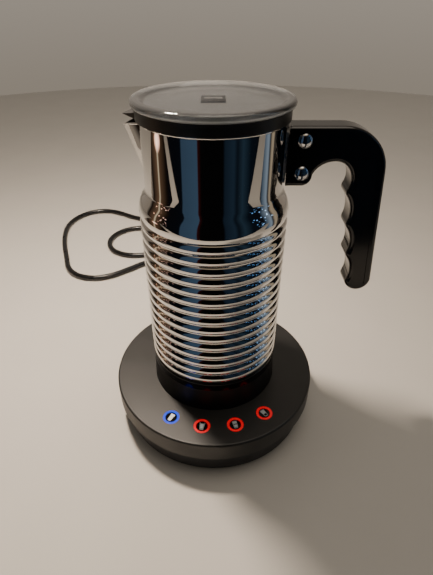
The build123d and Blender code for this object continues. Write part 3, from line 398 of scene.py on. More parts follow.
# %% Coatings
SPECK_MM = 0.9
STRAND_MM = 2.4
COPPER_AREA_MM = 3.0


def nonstick_coat():
    """A dark sprayed coat with fine specks."""
    material, tree, shader = new_material("sprayed_nonstick_coat", Roughness=0.42)
    place = add(tree, "ShaderNodeTexCoord").outputs["Object"]
    inputs = {"Vector": place, "Scale": per_metre(SPECK_MM)}
    specks = add(tree, "ShaderNodeTexVoronoi", inputs).outputs["Distance"]
    near = {"Value": specks, "From Min": 0.05, "From Max": 0.22}
    tint(tree, shader, add(tree, "ShaderNodeMapRange", near).outputs["Result"], "#55565a", "#1c1d1f")
    bump(tree, shader, noise(tree, 0.6), 0.4, 0.01)
    return material


def litz_copper():
    """Copper wire wound in rings, each a strand wide."""
    material, tree, shader = new_material("lacquered_litz_copper", Metallic=0.8, Roughness=0.34)
    place = add(tree, "ShaderNodeTexCoord").outputs["Object"]
    inputs = {"Vector": place, "Scale": per_metre(STRAND_MM) / math.tau, "Distortion": 0.1}
    rings = add(tree, "ShaderNodeTexWave", inputs, wave_type="RINGS", rings_direction="Z")
    tint(tree, shader, rings.outputs["Fac"], "#5a2a14", "#c57a4a")
    bump(tree, shader, rings.outputs["Fac"], 0.8, 0.3)
    return material


def solder_mask():
    """Green solder mask over faint copper areas."""
    material, tree, shader = new_material("green_solder_mask", Roughness=0.3, Coat_Weight=0.3)
    place = add(tree, "ShaderNodeTexCoord").outputs["Object"]
    inputs = {"Vector": place, "Scale": per_metre(COPPER_AREA_MM)}
    areas = add(tree, "ShaderNodeTexVoronoi", inputs, distance="MANHATTAN").outputs["Distance"]
    tint(tree, shader, areas, "#0f5a2c", "#17703a")
    bump(tree, shader, areas, 0.3, 0.03)
    return material


nonstick = nonstick_coat()
litz = litz_copper()
board_green = solder_mask()
ferrite = moulded("fired_ferrite", "#1b1b1d", "#2c2c2f", 0.5, 0.35, 0.02)


# %% [markdown]
# ## The clear lid
# The lid is thick clear copolyester with a faint smoke tint. It bends light as glass does, its rim catches
# bright lines, and fine wear makes the flat middle a little hazy.


# %% Lid plastic
def clear_plastic():
    """Clear plastic with a faint grey tint and a light haze."""
    material, tree, shader = new_material("smoked_clear_copolyester", IOR=1.5, Transmission_Weight=0.92)
    haze = noise(tree, 9.0, detail=4.0)
    tint(tree, shader, haze, "#bcc0c4", "#cccfd2")
    tree.links.new(spread(tree, haze, 0.03, 0.09), shader.inputs["Roughness"])
    return material


clear_lid = clear_plastic()


# %% [markdown]
# ## The lit rings
# Each ring is a light guide: plastic lit from below by a lamp on the board, a little uneven along its
# length. The colour comes from the lamp, so it is emission.


# %% Light guides
GLOW_PATCH_MM = 2.5


def light_guide(name, dark, light, strength):
    """A glowing ring whose brightness varies a little along it."""
    material, tree, shader = new_material(name, Roughness=0.25, Emission_Strength=strength)
    tint(tree, shader, noise(tree, GLOW_PATCH_MM), dark, light)
    colour = shader.inputs["Base Color"].links[0].from_socket
    tree.links.new(colour, shader.inputs["Emission Color"])
    return material


blue_light = light_guide("blue_light_guide", "#0426a8", "#0a3cd8", 0.7)
red_light = light_guide("red_light_guide", "#b80010", "#dc0818", 0.7)

# %% [markdown]
# ## The steel jug
# The jug is turned: fifteen ribs with narrow grooves between them, a bulge, a straight neck and a rolled
# rim, with the wall's inner side back down to the bottom. The spin is fine, because facets would show in
# the mirror. The spout is then folded out of the neck by moving its columns of points onto two flat
# facets, which meet in a ridge; the columns crowd together towards its root, so the creases stay clean.

# %% Jug
RIB_COUNT = 15
RIB_PITCH_MM = 6.81
RIB_CREST_MM = 43.4
RIB_GROOVE_MM = 41.7
GROOVE_HALF_MM = 0.25
JUG_Z_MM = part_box("jug_shell")[0].z / MM
RIM_Z_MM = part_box("jug_shell")[1].z / MM
RIBS_TOP_MM = JUG_Z_MM + RIB_COUNT * RIB_PITCH_MM
NECK_MM = 38.7
NECK_Z_MM = RIBS_TOP_MM + 17.0
WALL_MM = 0.8
BEAD_MM = 0.5
JUG_STEPS = 240
INNER_RIBS_MM = 40.9
BULGE_POINTS_MM = (
    (42.75, 0.9),
    (43.15, 2.2),
    (43.3, 3.6),
    (43.26, 5.2),
    (43.05, 6.9),
    (42.65, 8.6),
    (42.05, 10.2),
    (41.2, 11.8),
    (40.2, 13.3),
    (39.35, 14.7),
    (38.85, 15.9),
)
SPOUT_ROOT_Z_MM = 184.0
SPOUT_TIP_Z_MM = 209.8
SPOUT_TIP_X_MM = 47.0
SPOUT_ROOT_DEG = 0.9
SPOUT_TOP_DEG = 20.0
SPOUT_COLUMN_DEG = 12.0
SPOUT_SPREAD_DEG = 54.0


def rib_profile():
    """The ribbed wall from the bottom up."""
    points = []
    for i in range(RIB_COUNT):
        low = JUG_Z_MM + i * RIB_PITCH_MM
        points.append((RIB_GROOVE_MM, low))
        chord = RIB_PITCH_MM / 2 - GROOVE_HALF_MM
        rise = RIB_CREST_MM - RIB_GROOVE_MM
        radius = (chord**2 + rise**2) / (2 * rise)
        half = math.degrees(math.asin(chord / radius))
        centre = (RIB_CREST_MM - radius, low + RIB_PITCH_MM / 2)
        points += arc(centre, radius, -half, half, 10)
    return points


def bulge_profile():
    """The round shoulder between the ribs and the neck, from its radii and heights above the ribs."""
    return [(RIB_GROOVE_MM, RIBS_TOP_MM)] + [(r, RIBS_TOP_MM + z) for r, z in BULGE_POINTS_MM]


def neck_profile():
    """The neck from its foot to the rim's bead, then down the inner side to the bottom."""
    rows = 14
    bead_z = RIM_Z_MM - 2 * BEAD_MM
    points = [(NECK_MM, NECK_Z_MM), (NECK_MM, NECK_Z_MM + 3.5)]
    points += [
        (NECK_MM, SPOUT_ROOT_Z_MM + (bead_z - SPOUT_ROOT_Z_MM) * i / rows) for i in range(rows + 1)
    ]
    points += arc((NECK_MM, bead_z + BEAD_MM), BEAD_MM, -60, 90, 5)
    inner = NECK_MM - WALL_MM
    points += [
        (inner, RIM_Z_MM - 0.1 - (RIM_Z_MM - SPOUT_ROOT_Z_MM) * i / rows) for i in range(rows + 1)
    ]
    points += [(inner, RIBS_TOP_MM + 10.5), (INNER_RIBS_MM, RIBS_TOP_MM), (INNER_RIBS_MM, JUG_Z_MM)]
    return points


def spout_place(radius, angle_deg, z):
    """Where a point of the turned wall goes once the spout is folded out of it."""
    rise = max(0.0, (z - SPOUT_ROOT_Z_MM) / (RIM_Z_MM - SPOUT_ROOT_Z_MM))
    side_deg = SPOUT_ROOT_DEG + (SPOUT_TOP_DEG - SPOUT_ROOT_DEG) * rise
    size = abs(angle_deg)
    sign = math.copysign(1.0, angle_deg)
    if size >= SPOUT_SPREAD_DEG:
        return None
    if size > SPOUT_COLUMN_DEG:
        part = (size - SPOUT_COLUMN_DEG) / (SPOUT_SPREAD_DEG - SPOUT_COLUMN_DEG)
        turned = math.radians(side_deg + part * (SPOUT_SPREAD_DEG - side_deg))
        return -radius * math.cos(turned), sign * radius * math.sin(turned), z
    part = size / SPOUT_COLUMN_DEG
    side = math.radians(side_deg)
    side_x, side_y = NECK_MM * math.cos(side), NECK_MM * math.sin(side)
    slope = (SPOUT_TIP_X_MM - NECK_MM) / (SPOUT_TIP_Z_MM - SPOUT_ROOT_Z_MM)
    top_z = SPOUT_TIP_Z_MM + (RIM_Z_MM - SPOUT_TIP_Z_MM) * part
    low_z = SPOUT_ROOT_Z_MM
    new_z = z if z < low_z else low_z + (z - low_z) * (top_z - low_z) / (RIM_Z_MM - low_z)
    ridge_x = NECK_MM + slope * max(0.0, new_z - low_z)
    lean = math.atan2(side_y, ridge_x - side_x) if rise > 0 else math.pi / 2
    away = radius - NECK_MM
    x = ridge_x + (side_x - ridge_x) * part
    y = side_y * part
    x += away * (math.sin(lean) if part else 1 / max(0.5, math.sin(lean)))
    y += away * math.cos(lean) * (1.0 if part else 0.0)
    return -x, sign * y, new_z


def make_jug():
    """The whole shell with its spout."""
    bm = turn(rib_profile() + bulge_profile() + neck_profile(), JUG_STEPS)
    for vert in bm.verts:
        x, y, z = vert.co / MM
        angle = math.degrees(math.atan2(y, -x))
        place = spout_place(math.hypot(x, y), angle, z)
        if place is not None:
            vert.co = Vector(place) * MM
    return finish_mesh("polished_jug", bm, "jug", sharp_deg=22.0)


jug = make_jug()
jug.data.materials.append(polished_steel)
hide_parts("jug_shell")

# %% [markdown]
# ## The lid
# The disc has a thick rounded rim and a flat middle a little lower, so its profile is a half circle at the
# edge, a short flat, and a slope down to the middle. A few points near each corner keep it soft.

# %% Lid
LID_LOW_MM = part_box("lid_disc")[0].z / MM
LID_TOP_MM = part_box("lid_disc")[1].z / MM
LID_R_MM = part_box("lid_disc")[1].x / MM
LID_DROP_MM = 2.1
LID_FLAT_R_MM = 20


def make_lid():
    """The clear disc, closed at its middle."""
    half = (LID_TOP_MM - LID_LOW_MM) / 2
    rim_x = LID_R_MM - half
    middle = LID_TOP_MM - LID_DROP_MM
    profile = [(0, LID_LOW_MM), (LID_FLAT_R_MM, LID_LOW_MM), (rim_x - 1, LID_LOW_MM)]
    profile += arc((rim_x, LID_LOW_MM + half), half, -90, 90, 14)
    profile += [(38.8, LID_TOP_MM), (38.3, LID_TOP_MM - 0.05), (37.9, LID_TOP_MM - 0.2)]
    profile += [(36.1, middle + 0.28), (35.7, middle + 0.07), (35.1, middle)]
    profile += [(LID_FLAT_R_MM, middle), (0, middle)]
    return finish_mesh("clear_lid", turn(profile, 128, closed=False), "lid", sharp_deg=40.0)


lid = make_lid()
lid.data.materials.append(clear_lid)
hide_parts("lid_disc")

# %% [markdown]
# ## The plate on the lid
# A small dark plate with bevelled edges lies in the middle of the lid, with a raised bright bar on it.

# %% Plate
PLATE_Z_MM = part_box("lid_badge")[0].z / MM
PLATE_SIZE_MM = (12.6, 14.4, 0.34)


def make_plate():
    """The dark plate."""
    bm = bmesh.new()
    box_mm(bm, PLATE_SIZE_MM, (0, 0, PLATE_Z_MM + PLATE_SIZE_MM[2] / 2), 0.12)
    return finish_mesh("lid_plate", bm, "lid", sharp_deg=40.0)


def make_bar():
    """The bright bar on the plate, thinner in its middle."""
    bm = bmesh.new()
    for x in (-2.6, 2.6):
        box_mm(bm, (3.9, 3.6, 0.16), (x, 1.0, PLATE_Z_MM + 0.42), 0.06)
    box_mm(bm, (2.4, 1.4, 0.12), (0, 1.6, PLATE_Z_MM + 0.4), 0.04)
    return finish_mesh("lid_plate_bar", bm, "lid", sharp_deg=40.0)


plate = make_plate()
plate.data.materials.append(badge_plate)
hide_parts("lid_badge")
bar = make_bar()
bar.data.materials.append(chrome)

# %% [markdown]
# ## Button symbols
# Each button shows a small glass, wider at its top, with its foot towards the rim of the base. The first is
# filled; the others show an outline with more or less foam. They are thin printed shapes that ride on their
# buttons.

# %% Symbols
BUTTONS = ("cold_froth", "hot_milk", "light_froth", "dense_froth")
GLASS_H_MM = 5.5
GLASS_TOP_MM = 3.5
GLASS_FOOT_MM = 2.3
GLASS_WALL_MM = 0.28
INK_T_MM = 0.05


def glass_width(part):
    """The width of the glass at a share of its height."""
    return GLASS_FOOT_MM + (GLASS_TOP_MM - GLASS_FOOT_MM) * part


def add_band(bm, low, high, inset=0.0):
    """A tapered band across the glass between two shares of its height."""
    made = bmesh.ops.create_grid(bm, x_segments=1, y_segments=1, size=0.5)["verts"]
    for vert in made:
        part = low if vert.co.y < 0 else high
        side = math.copysign(glass_width(part) / 2 - inset, vert.co.x)
        vert.co = Vector((side * MM, (part - 0.5) * GLASS_H_MM * MM, 0))


def add_wall(bm, side):
    """One slanted side of the glass."""
    made = bmesh.ops.create_grid(bm, x_segments=1, y_segments=1, size=0.5)["verts"]
    for vert in made:
        part = 0.0 if vert.co.y < 0 else 1.0
        outer = glass_width(part) / 2 - (GLASS_WALL_MM if vert.co.x < 0 else 0.0)
        vert.co = Vector((side * outer * MM, (part - 0.5) * GLASS_H_MM * MM, 0))


def make_symbol(name, bands):
    """A symbol on a button, its foot towards the rim of the base."""
    low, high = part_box(f"{name}_button")
    x, y = (low.x + high.x) / 2, (low.y + high.y) / 2
    bm = bmesh.new()
    for low_part, high_part, inset in bands:
        add_band(bm, low_part, high_part, inset)
    for side in (-1, 1):
        add_wall(bm, side)
    top = bmesh.ops.extrude_face_region(bm, geom=bm.faces[:])["geom"]
    lifted = [item for item in top if isinstance(item, bmesh.types.BMVert)]
    bmesh.ops.translate(bm, vec=(0, 0, INK_T_MM * MM), verts=lifted)
    outward = math.atan2(y, x) + math.pi / 2
    place = Matrix.Translation((x, y, high.z)) @ Matrix.Rotation(outward, 4, "Z")
    bmesh.ops.transform(bm, matrix=place, verts=bm.verts)
    return finish_mesh(f"{name}_symbol", bm, f"{name}_button")


SYMBOL_BANDS = {
    "cold_froth": ((0.0, 1.0, 0.0),),
    "hot_milk": ((0.0, 0.07, 0.0), (0.14, 0.84, 0.42)),
    "light_froth": ((0.0, 0.07, 0.0), (0.62, 1.0, 0.0), (0.14, 0.5, 0.42)),
    "dense_froth": ((0.0, 0.07, 0.0), (0.4, 1.0, 0.0)),
}
for name in BUTTONS:
    symbol = make_symbol(name, SYMBOL_BANDS[name])
    # The first symbol takes the lighter ink, whose extra brightness is painted light.
    symbol.data.materials.append(icon_ink_painted_lit if name == "cold_froth" else icon_grey)

# %% [markdown]
# ## The strain relief
# The sleeve round the lead at the base is soft rubber with grooves, so it bends evenly. It is turned and
# then laid along Y.

# %% Strain relief
GLAND_Z_MM = 9.5
GLAND_EXIT_MM = 97.0
GLAND_WALL_MM = 71.0
LEAD_HOLE_MM = 3.02


def make_relief():
    """The grooved, tapered sleeve."""
    grooves = 5
    pitch = (GLAND_EXIT_MM - GLAND_WALL_MM - 5.0) / grooves
    profile = [(LEAD_HOLE_MM, 0.0), (5.3, 0.0), (5.4, 0.15), (5.4, 3.0)]
    for i in range(grooves):
        start = 3.0 + i * pitch
        outer = 5.3 - 1.6 * (i + 0.5) / grooves
        profile += [(outer - 0.75, start + 0.25), (outer - 0.75, start + 1.1), (outer, start + 1.35)]
        profile += [(outer - 0.12, start + pitch - 0.05)]
    profile += [(3.6, 24.8), (3.55, 25.8), (3.4, 26.0), (LEAD_HOLE_MM, 26.0)]
    bm = turn(profile, 48)
    shift = Matrix.Translation((0, GLAND_WALL_MM * MM, GLAND_Z_MM * MM))
    lay = shift @ Matrix.Rotation(-math.pi / 2, 4, "X")
    bmesh.ops.transform(bm, matrix=lay, verts=bm.verts)
    return finish_mesh("strain_relief_sleeve", bm, "base", sharp_deg=35.0)


relief = make_relief()
relief.data.materials.append(seal_rubber)
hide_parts("cord_strain_relief")

# %% [markdown]
# ## The plug
# A flat two-pin plug: a body with rounded long edges that narrows towards the lead, finger ridges on its
# sides, a ribbed tail, and two pins whose inner half has an insulating sleeve.

# %% Plug
PLUG_L_MM = 36.0
PLUG_W_MM = 35.3
PLUG_T_MM = 13.7
TAIL_L_MM = 14.0
PIN_SPACE_MM = 18.6
PLUG_EDGE_MM = 4.6
PLUG_END_MM = 1.0


def plug_place():
    """The matrix that lays a plug made along +X where the lead ends."""
    end, before = Vector(CORD_ROUTE_MM[-1]), Vector(CORD_ROUTE_MM[-2])
    heading = math.atan2(end.y - before.y, end.x - before.x)
    return Matrix.Translation(end * MM) @ Matrix.Rotation(heading, 4, "Z")


def lay_plug(bm):
    """Puts what was made along +X in the plug's place."""
    bmesh.ops.transform(bm, matrix=plug_place(), verts=bm.verts)
    return bm


def make_plug_body():
    """The moulded body with narrowed shoulders and finger ridges."""
    bm = bmesh.new()
    made = bmesh.ops.create_cube(bm, size=1.0)["verts"]
    bmesh.ops.scale(bm, vec=(PLUG_L_MM * MM, PLUG_W_MM * MM, PLUG_T_MM * MM), verts=made)
    bmesh.ops.translate(bm, vec=((TAIL_L_MM + PLUG_L_MM / 2) * MM, 0, 0), verts=made)
    cuts = [edge for edge in bm.edges if abs(edge.verts[0].co.x - edge.verts[1].co.x) > MM]
    bmesh.ops.subdivide_edges(bm, edges=cuts, cuts=1)
    for vert in bm.verts:
        if vert.co.x < (TAIL_L_MM + 1) * MM:
            vert.co.y *= 0.52
            vert.co.z *= 0.86
    long_edges = [edge for edge in bm.edges if abs(edge.verts[0].co.x - edge.verts[1].co.x) > MM]
    bmesh.ops.bevel(
        bm, geom=long_edges, offset=PLUG_EDGE_MM * MM, affect="EDGES", segments=6, profile=0.5, material=-1
    )
    ends = [edge for edge in bm.edges if edge.calc_face_angle(0) > math.radians(60)]
    bmesh.ops.bevel(
        bm, geom=ends, offset=PLUG_END_MM * MM, affect="EDGES", segments=3, profile=0.5, material=-1
    )
    for side in (-1, 1):
        for i in range(5):
            x = TAIL_L_MM + 21.0 + 2.6 * i
            box_mm(bm, (1.2, 0.7, 6.0), (x, side * (PLUG_W_MM / 2 - 0.15), 0), 0.25, 2)
    return finish_mesh("plug_body", lay_plug(bm), "base", sharp_deg=32.0)


def make_plug_tail():
    """The ribbed tail between the lead and the body."""
    profile = [(LEAD_HOLE_MM, 0.0), (3.7, 0.0), (3.8, 0.2)]
    for i in range(4):
        start = 1.2 + i * 3.1
        outer = 4.0 + 0.42 * i
        profile += [(outer, start), (outer + 0.12, start + 1.7), (outer - 0.6, start + 1.95)]
        profile += [(outer - 0.55, start + 2.8)]
    profile += [(5.6, 14.0), (5.6, 15.5), (LEAD_HOLE_MM, 15.5)]
    bm = turn(profile, 40)
    bmesh.ops.rotate(bm, cent=(0, 0, 0), matrix=Matrix.Rotation(math.pi / 2, 3, "Y"), verts=bm.verts)
    return finish_mesh("plug_tail", lay_plug(bm), "base", sharp_deg=35.0)


def make_pin_sleeves():
    """The insulating sleeves on the pins."""
    bm = bmesh.new()
    for side in (-1, 1):
        sleeve = turn([(2.0, 0), (2.12, 0), (2.12, 9.4), (2.0, 9.6)], 32)
        mesh = bpy.data.meshes.new("sleeve")
        shift = Matrix.Translation(((TAIL_L_MM + PLUG_L_MM) * MM, side * PIN_SPACE_MM / 2 * MM, 0))
        lie = shift @ Matrix.Rotation(math.pi / 2, 4, "Y")
        bmesh.ops.transform(sleeve, matrix=lie, verts=sleeve.verts)
        sleeve.to_mesh(mesh)
        sleeve.free()
        bm.from_mesh(mesh)
        bpy.data.meshes.remove(mesh)
    return finish_mesh("pin_sleeves", lay_plug(bm), "base", sharp_deg=35.0)


plug_pieces = [make_plug_body(), make_plug_tail(), make_pin_sleeves()]
for piece in plug_pieces:
    piece.data.materials.append(cord_pvc)
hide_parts("mains_plug")

# %% [markdown]
# ## Attaching the lead
# The lead rides on the base, as its plug does.

# %% Lead's finish and body
lead.data.materials.append(cord_pvc)
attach(lead, "base")
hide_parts("power_cord")

# %% [markdown]
# ## The whisk's coil
# The whisk is a spring wound round a ring. A helix is a formula, so a poly curve through its points with a
# round bevel gives the wire.

# %% Whisk
WHISK_R_MM = 17.0
WHISK_WIRE_MM = 0.32
WHISK_TURNS = 54
WHISK_POINTS = 14
SPOKE_COUNT = 3
SPOKE_R_MM = 0.8
SPOKE_L_MM = 7.0
SPOKE_MIDDLE_MM = 13.2
SPOKE_FIRST_DEG = 20


def make_whisk_coil():
    """The wound wire, as a mesh."""
    low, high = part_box("whisk_ring")
    mid_z = (low.z + high.z) / 2
    coil_r = (high.z - low.z) / 2 - WHISK_WIRE_MM * MM
    curve = bpy.data.curves.new("whisk_coil", "CURVE")
    curve.dimensions = "3D"
    spline = curve.splines.new("POLY")
    count = WHISK_TURNS * WHISK_POINTS
    spline.points.add(count - 1)
    for i, point in enumerate(spline.points):
        round_ring = math.tau * i / count
        round_wire = round_ring * WHISK_TURNS
        reach = WHISK_R_MM * MM + coil_r * math.cos(round_wire)
        x, y = reach * math.cos(round_ring), reach * math.sin(round_ring)
        point.co = (x, y, mid_z + coil_r * math.sin(round_wire), 1.0)
    spline.use_cyclic_u = True
    curve.bevel_depth = WHISK_WIRE_MM * MM
    curve.bevel_resolution = 2
    holder = bpy.data.objects.new("whisk_coil_curve", curve)
    bm = bmesh.new()
    bpy.context.scene.collection.objects.link(holder)
    bpy.context.view_layer.update()
    evaluated = holder.evaluated_get(bpy.context.evaluated_depsgraph_get())
    bm.from_mesh(bpy.data.meshes.new_from_object(evaluated))
    bpy.data.objects.remove(holder)
    return finish_mesh("whisk_coil", bm, "whisk", sharp_deg=60.0)


def make_spokes():
    """The three straight wires from the hub to the coil."""
    low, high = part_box("whisk_ring")
    bm = bmesh.new()
    radius = SPOKE_R_MM * MM
    for i in range(SPOKE_COUNT):
        made = bmesh.ops.create_cone(
            bm, cap_ends=True, segments=16, radius1=radius, radius2=radius, depth=SPOKE_L_MM * MM
        )["verts"]
        turn_to = Matrix.Rotation(math.radians(SPOKE_FIRST_DEG + 360 / SPOKE_COUNT * i), 4, "Z")
        place = turn_to @ Matrix.Translation((SPOKE_MIDDLE_MM * MM, 0, (low.z + high.z) / 2))
        lie = place @ Matrix.Rotation(math.pi / 2, 4, "Y")
        bmesh.ops.transform(bm, matrix=lie, verts=made)
    return finish_mesh("whisk_spokes", bm, "whisk", sharp_deg=40.0)


whisk = make_whisk_coil()
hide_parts("whisk_ring")
for piece in (whisk, make_spokes()):
    piece.data.materials.append(chrome)

# %% [markdown]
# ## Materials for the CAD pieces
# The pieces whose CAD shape is right keep it and get a finish.

# %% Finishes of the CAD pieces
FINISHES = {
    "base_top_cover": satin_abs,
    "base_bottom_cover": matte_abs,
    "foot_ring": rubber,
    "cover_screws": zinc_steel,
    "plinth_collar": collar_abs,
    "induction_coil": litz,
    "coil_carrier": nylon,
    "ferrite_bars": ferrite,
    "base_chassis": nylon,
    "motor_can": zinc_steel,
    "motor_shaft": vessel_steel,
    "magnet_carrier": nylon,
    "drive_magnets": magnet_nickel,
    "power_board": board_green,
    "power_components": part_black,
    "control_board": board_green,
    "button_switches": part_black,
    "inner_vessel": nonstick,
    "jug_bottom_cap": gloss_abs,
    "whisk_pin": vessel_steel,
    "whisk_hub": gloss_abs,
    "whisk_magnets": magnet_nickel,
    "handle": handle_plastic,
    "handle_bracket": vessel_steel,
    "handle_screws": chrome,
    "handle_nuts": chrome,
    "lid_seal": seal_rubber,
    "plug_pins": pin_brass,
}
for name in BUTTONS:
    FINISHES[f"{name}_button"] = button_gloss
    FINISHES[f"{name}_light_ring"] = blue_light if name == "cold_froth" else red_light
for name, material in FINISHES.items():
    mesh = nodes[name].data
    mesh.materials.clear()
    mesh.materials.append(material)
print("finished", len(FINISHES), "CAD pieces")


# %% [markdown]
# ## Floor
# A plain pale table top under the frother, with no pattern of its own.


# %% Floor
def floor_material():
    """A pale satin table top."""
    material, tree, shader = new_material("pale_table_laminate", Specular_IOR_Level=0.25)
    tint(tree, shader, noise(tree, 60.0, detail=3.0), "#cac5bd", "#d1ccc4")
    tree.links.new(spread(tree, noise(tree, 4.0), 0.62, 0.7), shader.inputs["Roughness"])
    return material


def make_stage_piece(name, bm, material):
    """An object that isn't part of the frother."""
    mesh = bpy.data.meshes.new(name)
    bm.to_mesh(mesh)
    bm.free()
    piece = bpy.data.objects.new(name, mesh)
    piece.data.materials.append(material)
    bpy.context.scene.collection.objects.link(piece)
    return piece


FLOOR_R = 1.3
BACKDROP_BEND = 0.5
BACKDROP_H = 2.4

floor_bm = bmesh.new()
bmesh.ops.create_circle(floor_bm, cap_ends=True, segments=96, radius=FLOOR_R)
make_stage_piece("floor", floor_bm, floor_material())

# %% [markdown]
# A plain backdrop curves up from the edge of the floor all round; a faint edge shows where they meet. The
# backdrop only shows: it is a glow that brightens with height, and it casts no light on the frother.


# %% Backdrop
# The darker foot of the glow is painted shade, matching the dimly lit far floor.
BACKDROP_GLOW_AND_SHADE_TONES = ((0.0, "#8b8276"), (0.5, "#a79f94"))


def start_glow(name):
    """A material with no shader yet, its node tree and the object's coordinates."""
    material = bpy.data.materials.new(name)
    material.use_nodes = True
    tree = material.node_tree
    tree.nodes.remove(tree.nodes["Principled BSDF"])
    return material, tree, add(tree, "ShaderNodeTexCoord").outputs["Object"]


def end_glow(tree, colour):
    """Sends a colour out of a material as its own light."""
    glow = add(tree, "ShaderNodeEmission", {"Color": colour})
    tree.links.new(glow.outputs["Emission"], tree.nodes["Material Output"].inputs["Surface"])


def band_ramp(tree, factor, bands):
    """Colours along a factor, as one ramp."""
    ramp = add(tree, "ShaderNodeValToRGB", {"Fac": factor})
    stops = ramp.color_ramp.elements
    for _ in range(len(bands) - len(stops)):
        stops.new(0.5)
    for stop, (position, _) in zip(stops, bands):
        stop.position = position
    for stop, (_, colour) in zip(stops, bands):
        stop.color = linear(colour)
    return ramp.outputs["Color"]


def backdrop_material():
    """A plain warm grey glow, darkest at its foot, where the darkening is painted shade."""
    material, tree, place = start_glow("backdrop_glow_with_painted_shade")
    height = add(tree, "ShaderNodeSeparateXYZ", {"Vector": place}).outputs["Z"]
    end_glow(tree, band_ramp(tree, height, BACKDROP_GLOW_AND_SHADE_TONES))
    return material


def make_backdrop():
    """A bowl round the floor, seen by the camera and through the clear lid, and by nothing else."""
    bend = arc((FLOOR_R, BACKDROP_BEND), BACKDROP_BEND, -90, 0, 16)
    profile = [(r / MM, z / MM) for r, z in [*bend, (FLOOR_R + BACKDROP_BEND, BACKDROP_H)]]
    piece = make_stage_piece("backdrop", turn(profile, 96, closed=False), backdrop_material())
    piece.visible_diffuse = False
    piece.visible_glossy = False
    piece.visible_shadow = False
    return piece


make_backdrop()

# %% [markdown]
# ## What the steel reflects
# Round the scene, and only in reflections, stand a dome and three cards on the table. The dome has upright
# bands of muted colour, a pale ceiling and small lamps at both sides; the cards are where the table ends in
# front and where dark things lie on it at both sides. Their colour depends on the direction round the
# frother: 0 and 1 are behind it, 0.25 is its left, and 0.5 is its front.

# %% Surroundings for reflections
DOME_R = 3.5
ROOM_BANDS = (
    (0.0, "#a0968a"),
    (0.18, "#8a7e70"),
    (0.195, "#1a1410"),
    (0.215, "#4e3c2e"),
    (0.236, "#6a523e"),
    (0.241, "#f0dcba"),
    (0.247, "#5c4634"),
    (0.285, "#1c1510"),
    (0.30, "#0c0c10"),
    (0.363, "#0b0e14"),
    (0.367, "#35475a"),
    (0.434, "#3a4e63"),
    (0.437, "#301010"),
    (0.45, "#070707"),
    (0.54, "#070707"),
    (0.548, "#17222e"),
    (0.585, "#1e2c3a"),
    (0.60, "#10161e"),
    (0.625, "#22323f"),
    (0.66, "#0d141c"),
    (0.715, "#101014"),
    (0.722, "#3d4c5b"),
    (0.752, "#8795a3"),
    (0.762, "#23262c"),
    (0.775, "#a89880"),
    (0.798, "#8f8270"),
    (0.802, "#08080a"),
    (0.83, "#08080a"),
    (0.84, "#8a7e70"),
    (1.0, "#a0968a"),
)
LAMP_BANDS = (
    (0.0, "#000000"),
    (0.2, "#000000"),
    (0.215, "#ffc4a0"),
    (0.29, "#ffd0c0"),
    (0.31, "#000000"),
    (0.66, "#000000"),
    (0.68, "#6fb4ff"),
    (0.76, "#b8dcff"),
    (0.78, "#000000"),
)
CEILING_LOW = 0.8
CEILING_HIGH = 0.9
CEILING_COLOUR = "#bfac92"
LAMP_SPACE_MM = 420.0
SPOT_EDGE = 0.22
SPOT_CORE = 0.1
SPOT_GLOW = 2.5
CARD_Z = 0.0004
TABLE_END_Y = -0.25
# A Mix node has a set of sockets for each type; these are the numbers of its colour sockets.
MIX_FROM = 6
MIX_TO = 7
MIX_RESULT = 2


def room_material():
    """Glow that depends on the direction round the frother, with a pale ceiling and small lamps."""
    material, tree, place = start_glow("reflected_room")
    parts = add(tree, "ShaderNodeSeparateXYZ", {"Vector": place}).outputs
    back = add(tree, "ShaderNodeMath", {0: parts["Y"], 1: -1.0}, operation="MULTIPLY").outputs[0]
    angle = add(tree, "ShaderNodeMath", {0: parts["X"], 1: back}, operation="ARCTAN2").outputs[0]
    inputs = {"Value": angle, "From Min": -math.pi, "From Max": math.pi}
    turn_part = add(tree, "ShaderNodeMapRange", inputs).outputs["Result"]
    walls = band_ramp(tree, turn_part, ROOM_BANDS)
    cells = {"Vector": place, "Scale": per_metre(LAMP_SPACE_MM)}
    spots = add(tree, "ShaderNodeTexVoronoi", cells).outputs["Distance"]
    near = {"Value": spots, "From Min": SPOT_EDGE, "From Max": SPOT_CORE, "To Max": SPOT_GLOW}
    lamps = {0: band_ramp(tree, turn_part, LAMP_BANDS)}
    lamps["Scale"] = add(tree, "ShaderNodeMapRange", near).outputs["Result"]
    lit = add(tree, "ShaderNodeVectorMath", lamps, operation="SCALE").outputs["Vector"]
    both = add(tree, "ShaderNodeVectorMath", {0: walls, 1: lit}, operation="ADD").outputs["Vector"]
    height = {"Value": parts["Z"], "From Min": CEILING_LOW * DOME_R, "From Max": CEILING_HIGH * DOME_R}
    high = add(tree, "ShaderNodeMapRange", height).outputs["Result"]
    mix = {"Factor": high, MIX_FROM: both, MIX_TO: linear(CEILING_COLOUR)}
    end_glow(tree, add(tree, "ShaderNodeMix", mix, data_type="RGBA").outputs[MIX_RESULT])
    return material


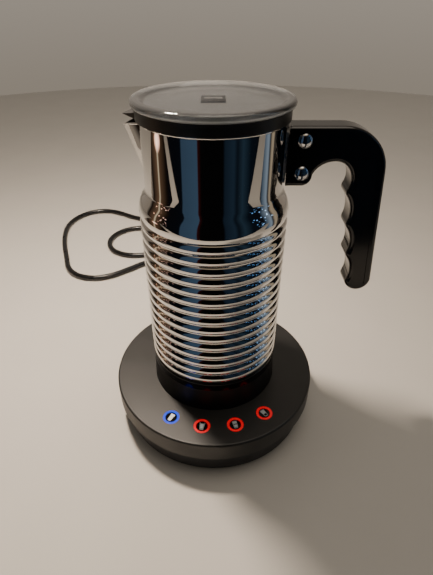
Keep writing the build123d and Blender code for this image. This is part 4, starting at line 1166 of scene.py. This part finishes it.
def reflections_only(piece):
    """Shows an object in reflections, and nowhere else."""
    piece.visible_camera = False
    piece.visible_diffuse = False
    piece.visible_shadow = False
    piece.visible_volume_scatter = False


def make_card(name, x_range, y_range):
    """A flat card just above the table."""
    card = bmesh.new()
    bmesh.ops.create_grid(card, x_segments=1, y_segments=1, size=0.5)
    size = (x_range[1] - x_range[0], y_range[1] - y_range[0], 1.0)
    bmesh.ops.scale(card, vec=size, verts=card.verts)
    centre = (sum(x_range) / 2, sum(y_range) / 2, CARD_Z)
    bmesh.ops.translate(card, vec=centre, verts=card.verts)
    reflections_only(make_stage_piece(name, card, room))


room = room_material()
dome_bm = bmesh.new()
bmesh.ops.create_uvsphere(dome_bm, u_segments=48, v_segments=24, radius=DOME_R)
reflections_only(make_stage_piece("reflected_dome", dome_bm, room))
make_card("reflected_table_end", (-1.6, 1.6), (-2.8, TABLE_END_Y))
make_card("reflected_left_things", (-1.6, -0.36), (-0.175, 0.22))
make_card("reflected_right_things", (0.42, 1.6), (-0.1, 0.3))


# %% [markdown]
# ## Lamps
# A small soft lamp hangs above and behind to the left, close enough that the shadow widens as it goes. A
# large one overhead and a pale world fill the shadows. Neither lamp shows to the camera.


# %% Lamps
WORLD_STRENGTH = 0.35


def lamp(name, place, target, size, watts, colour):
    """A round area lamp that points at a target."""
    data = bpy.data.lights.new(name, "AREA")
    data.shape = "DISK"
    data.size = size
    data.energy = watts
    data.color = linear(colour)[:3]
    made = bpy.data.objects.new(name, data)
    made.location = place
    made.rotation_euler = (Vector(target) - Vector(place)).to_track_quat("-Z", "Y").to_euler()
    made.visible_camera = False
    bpy.context.scene.collection.objects.link(made)


lamp("key", (-0.122, 0.095, 0.46), (-0.1, 0.05, 0.0), 0.05, 3.4, "#ffecd8")
lamp("ceiling", (0.3, 0.1, 2.2), (0.0, 0.0, 0.0), 1.6, 11.0, "#fff4e6")
world = bpy.data.worlds.new("soft_room")
world.use_nodes = True
background = world.node_tree.nodes["Background"].inputs
background["Color"].default_value = linear("#b5aea4")
background["Strength"].default_value = WORLD_STRENGTH
bpy.context.scene.world = world
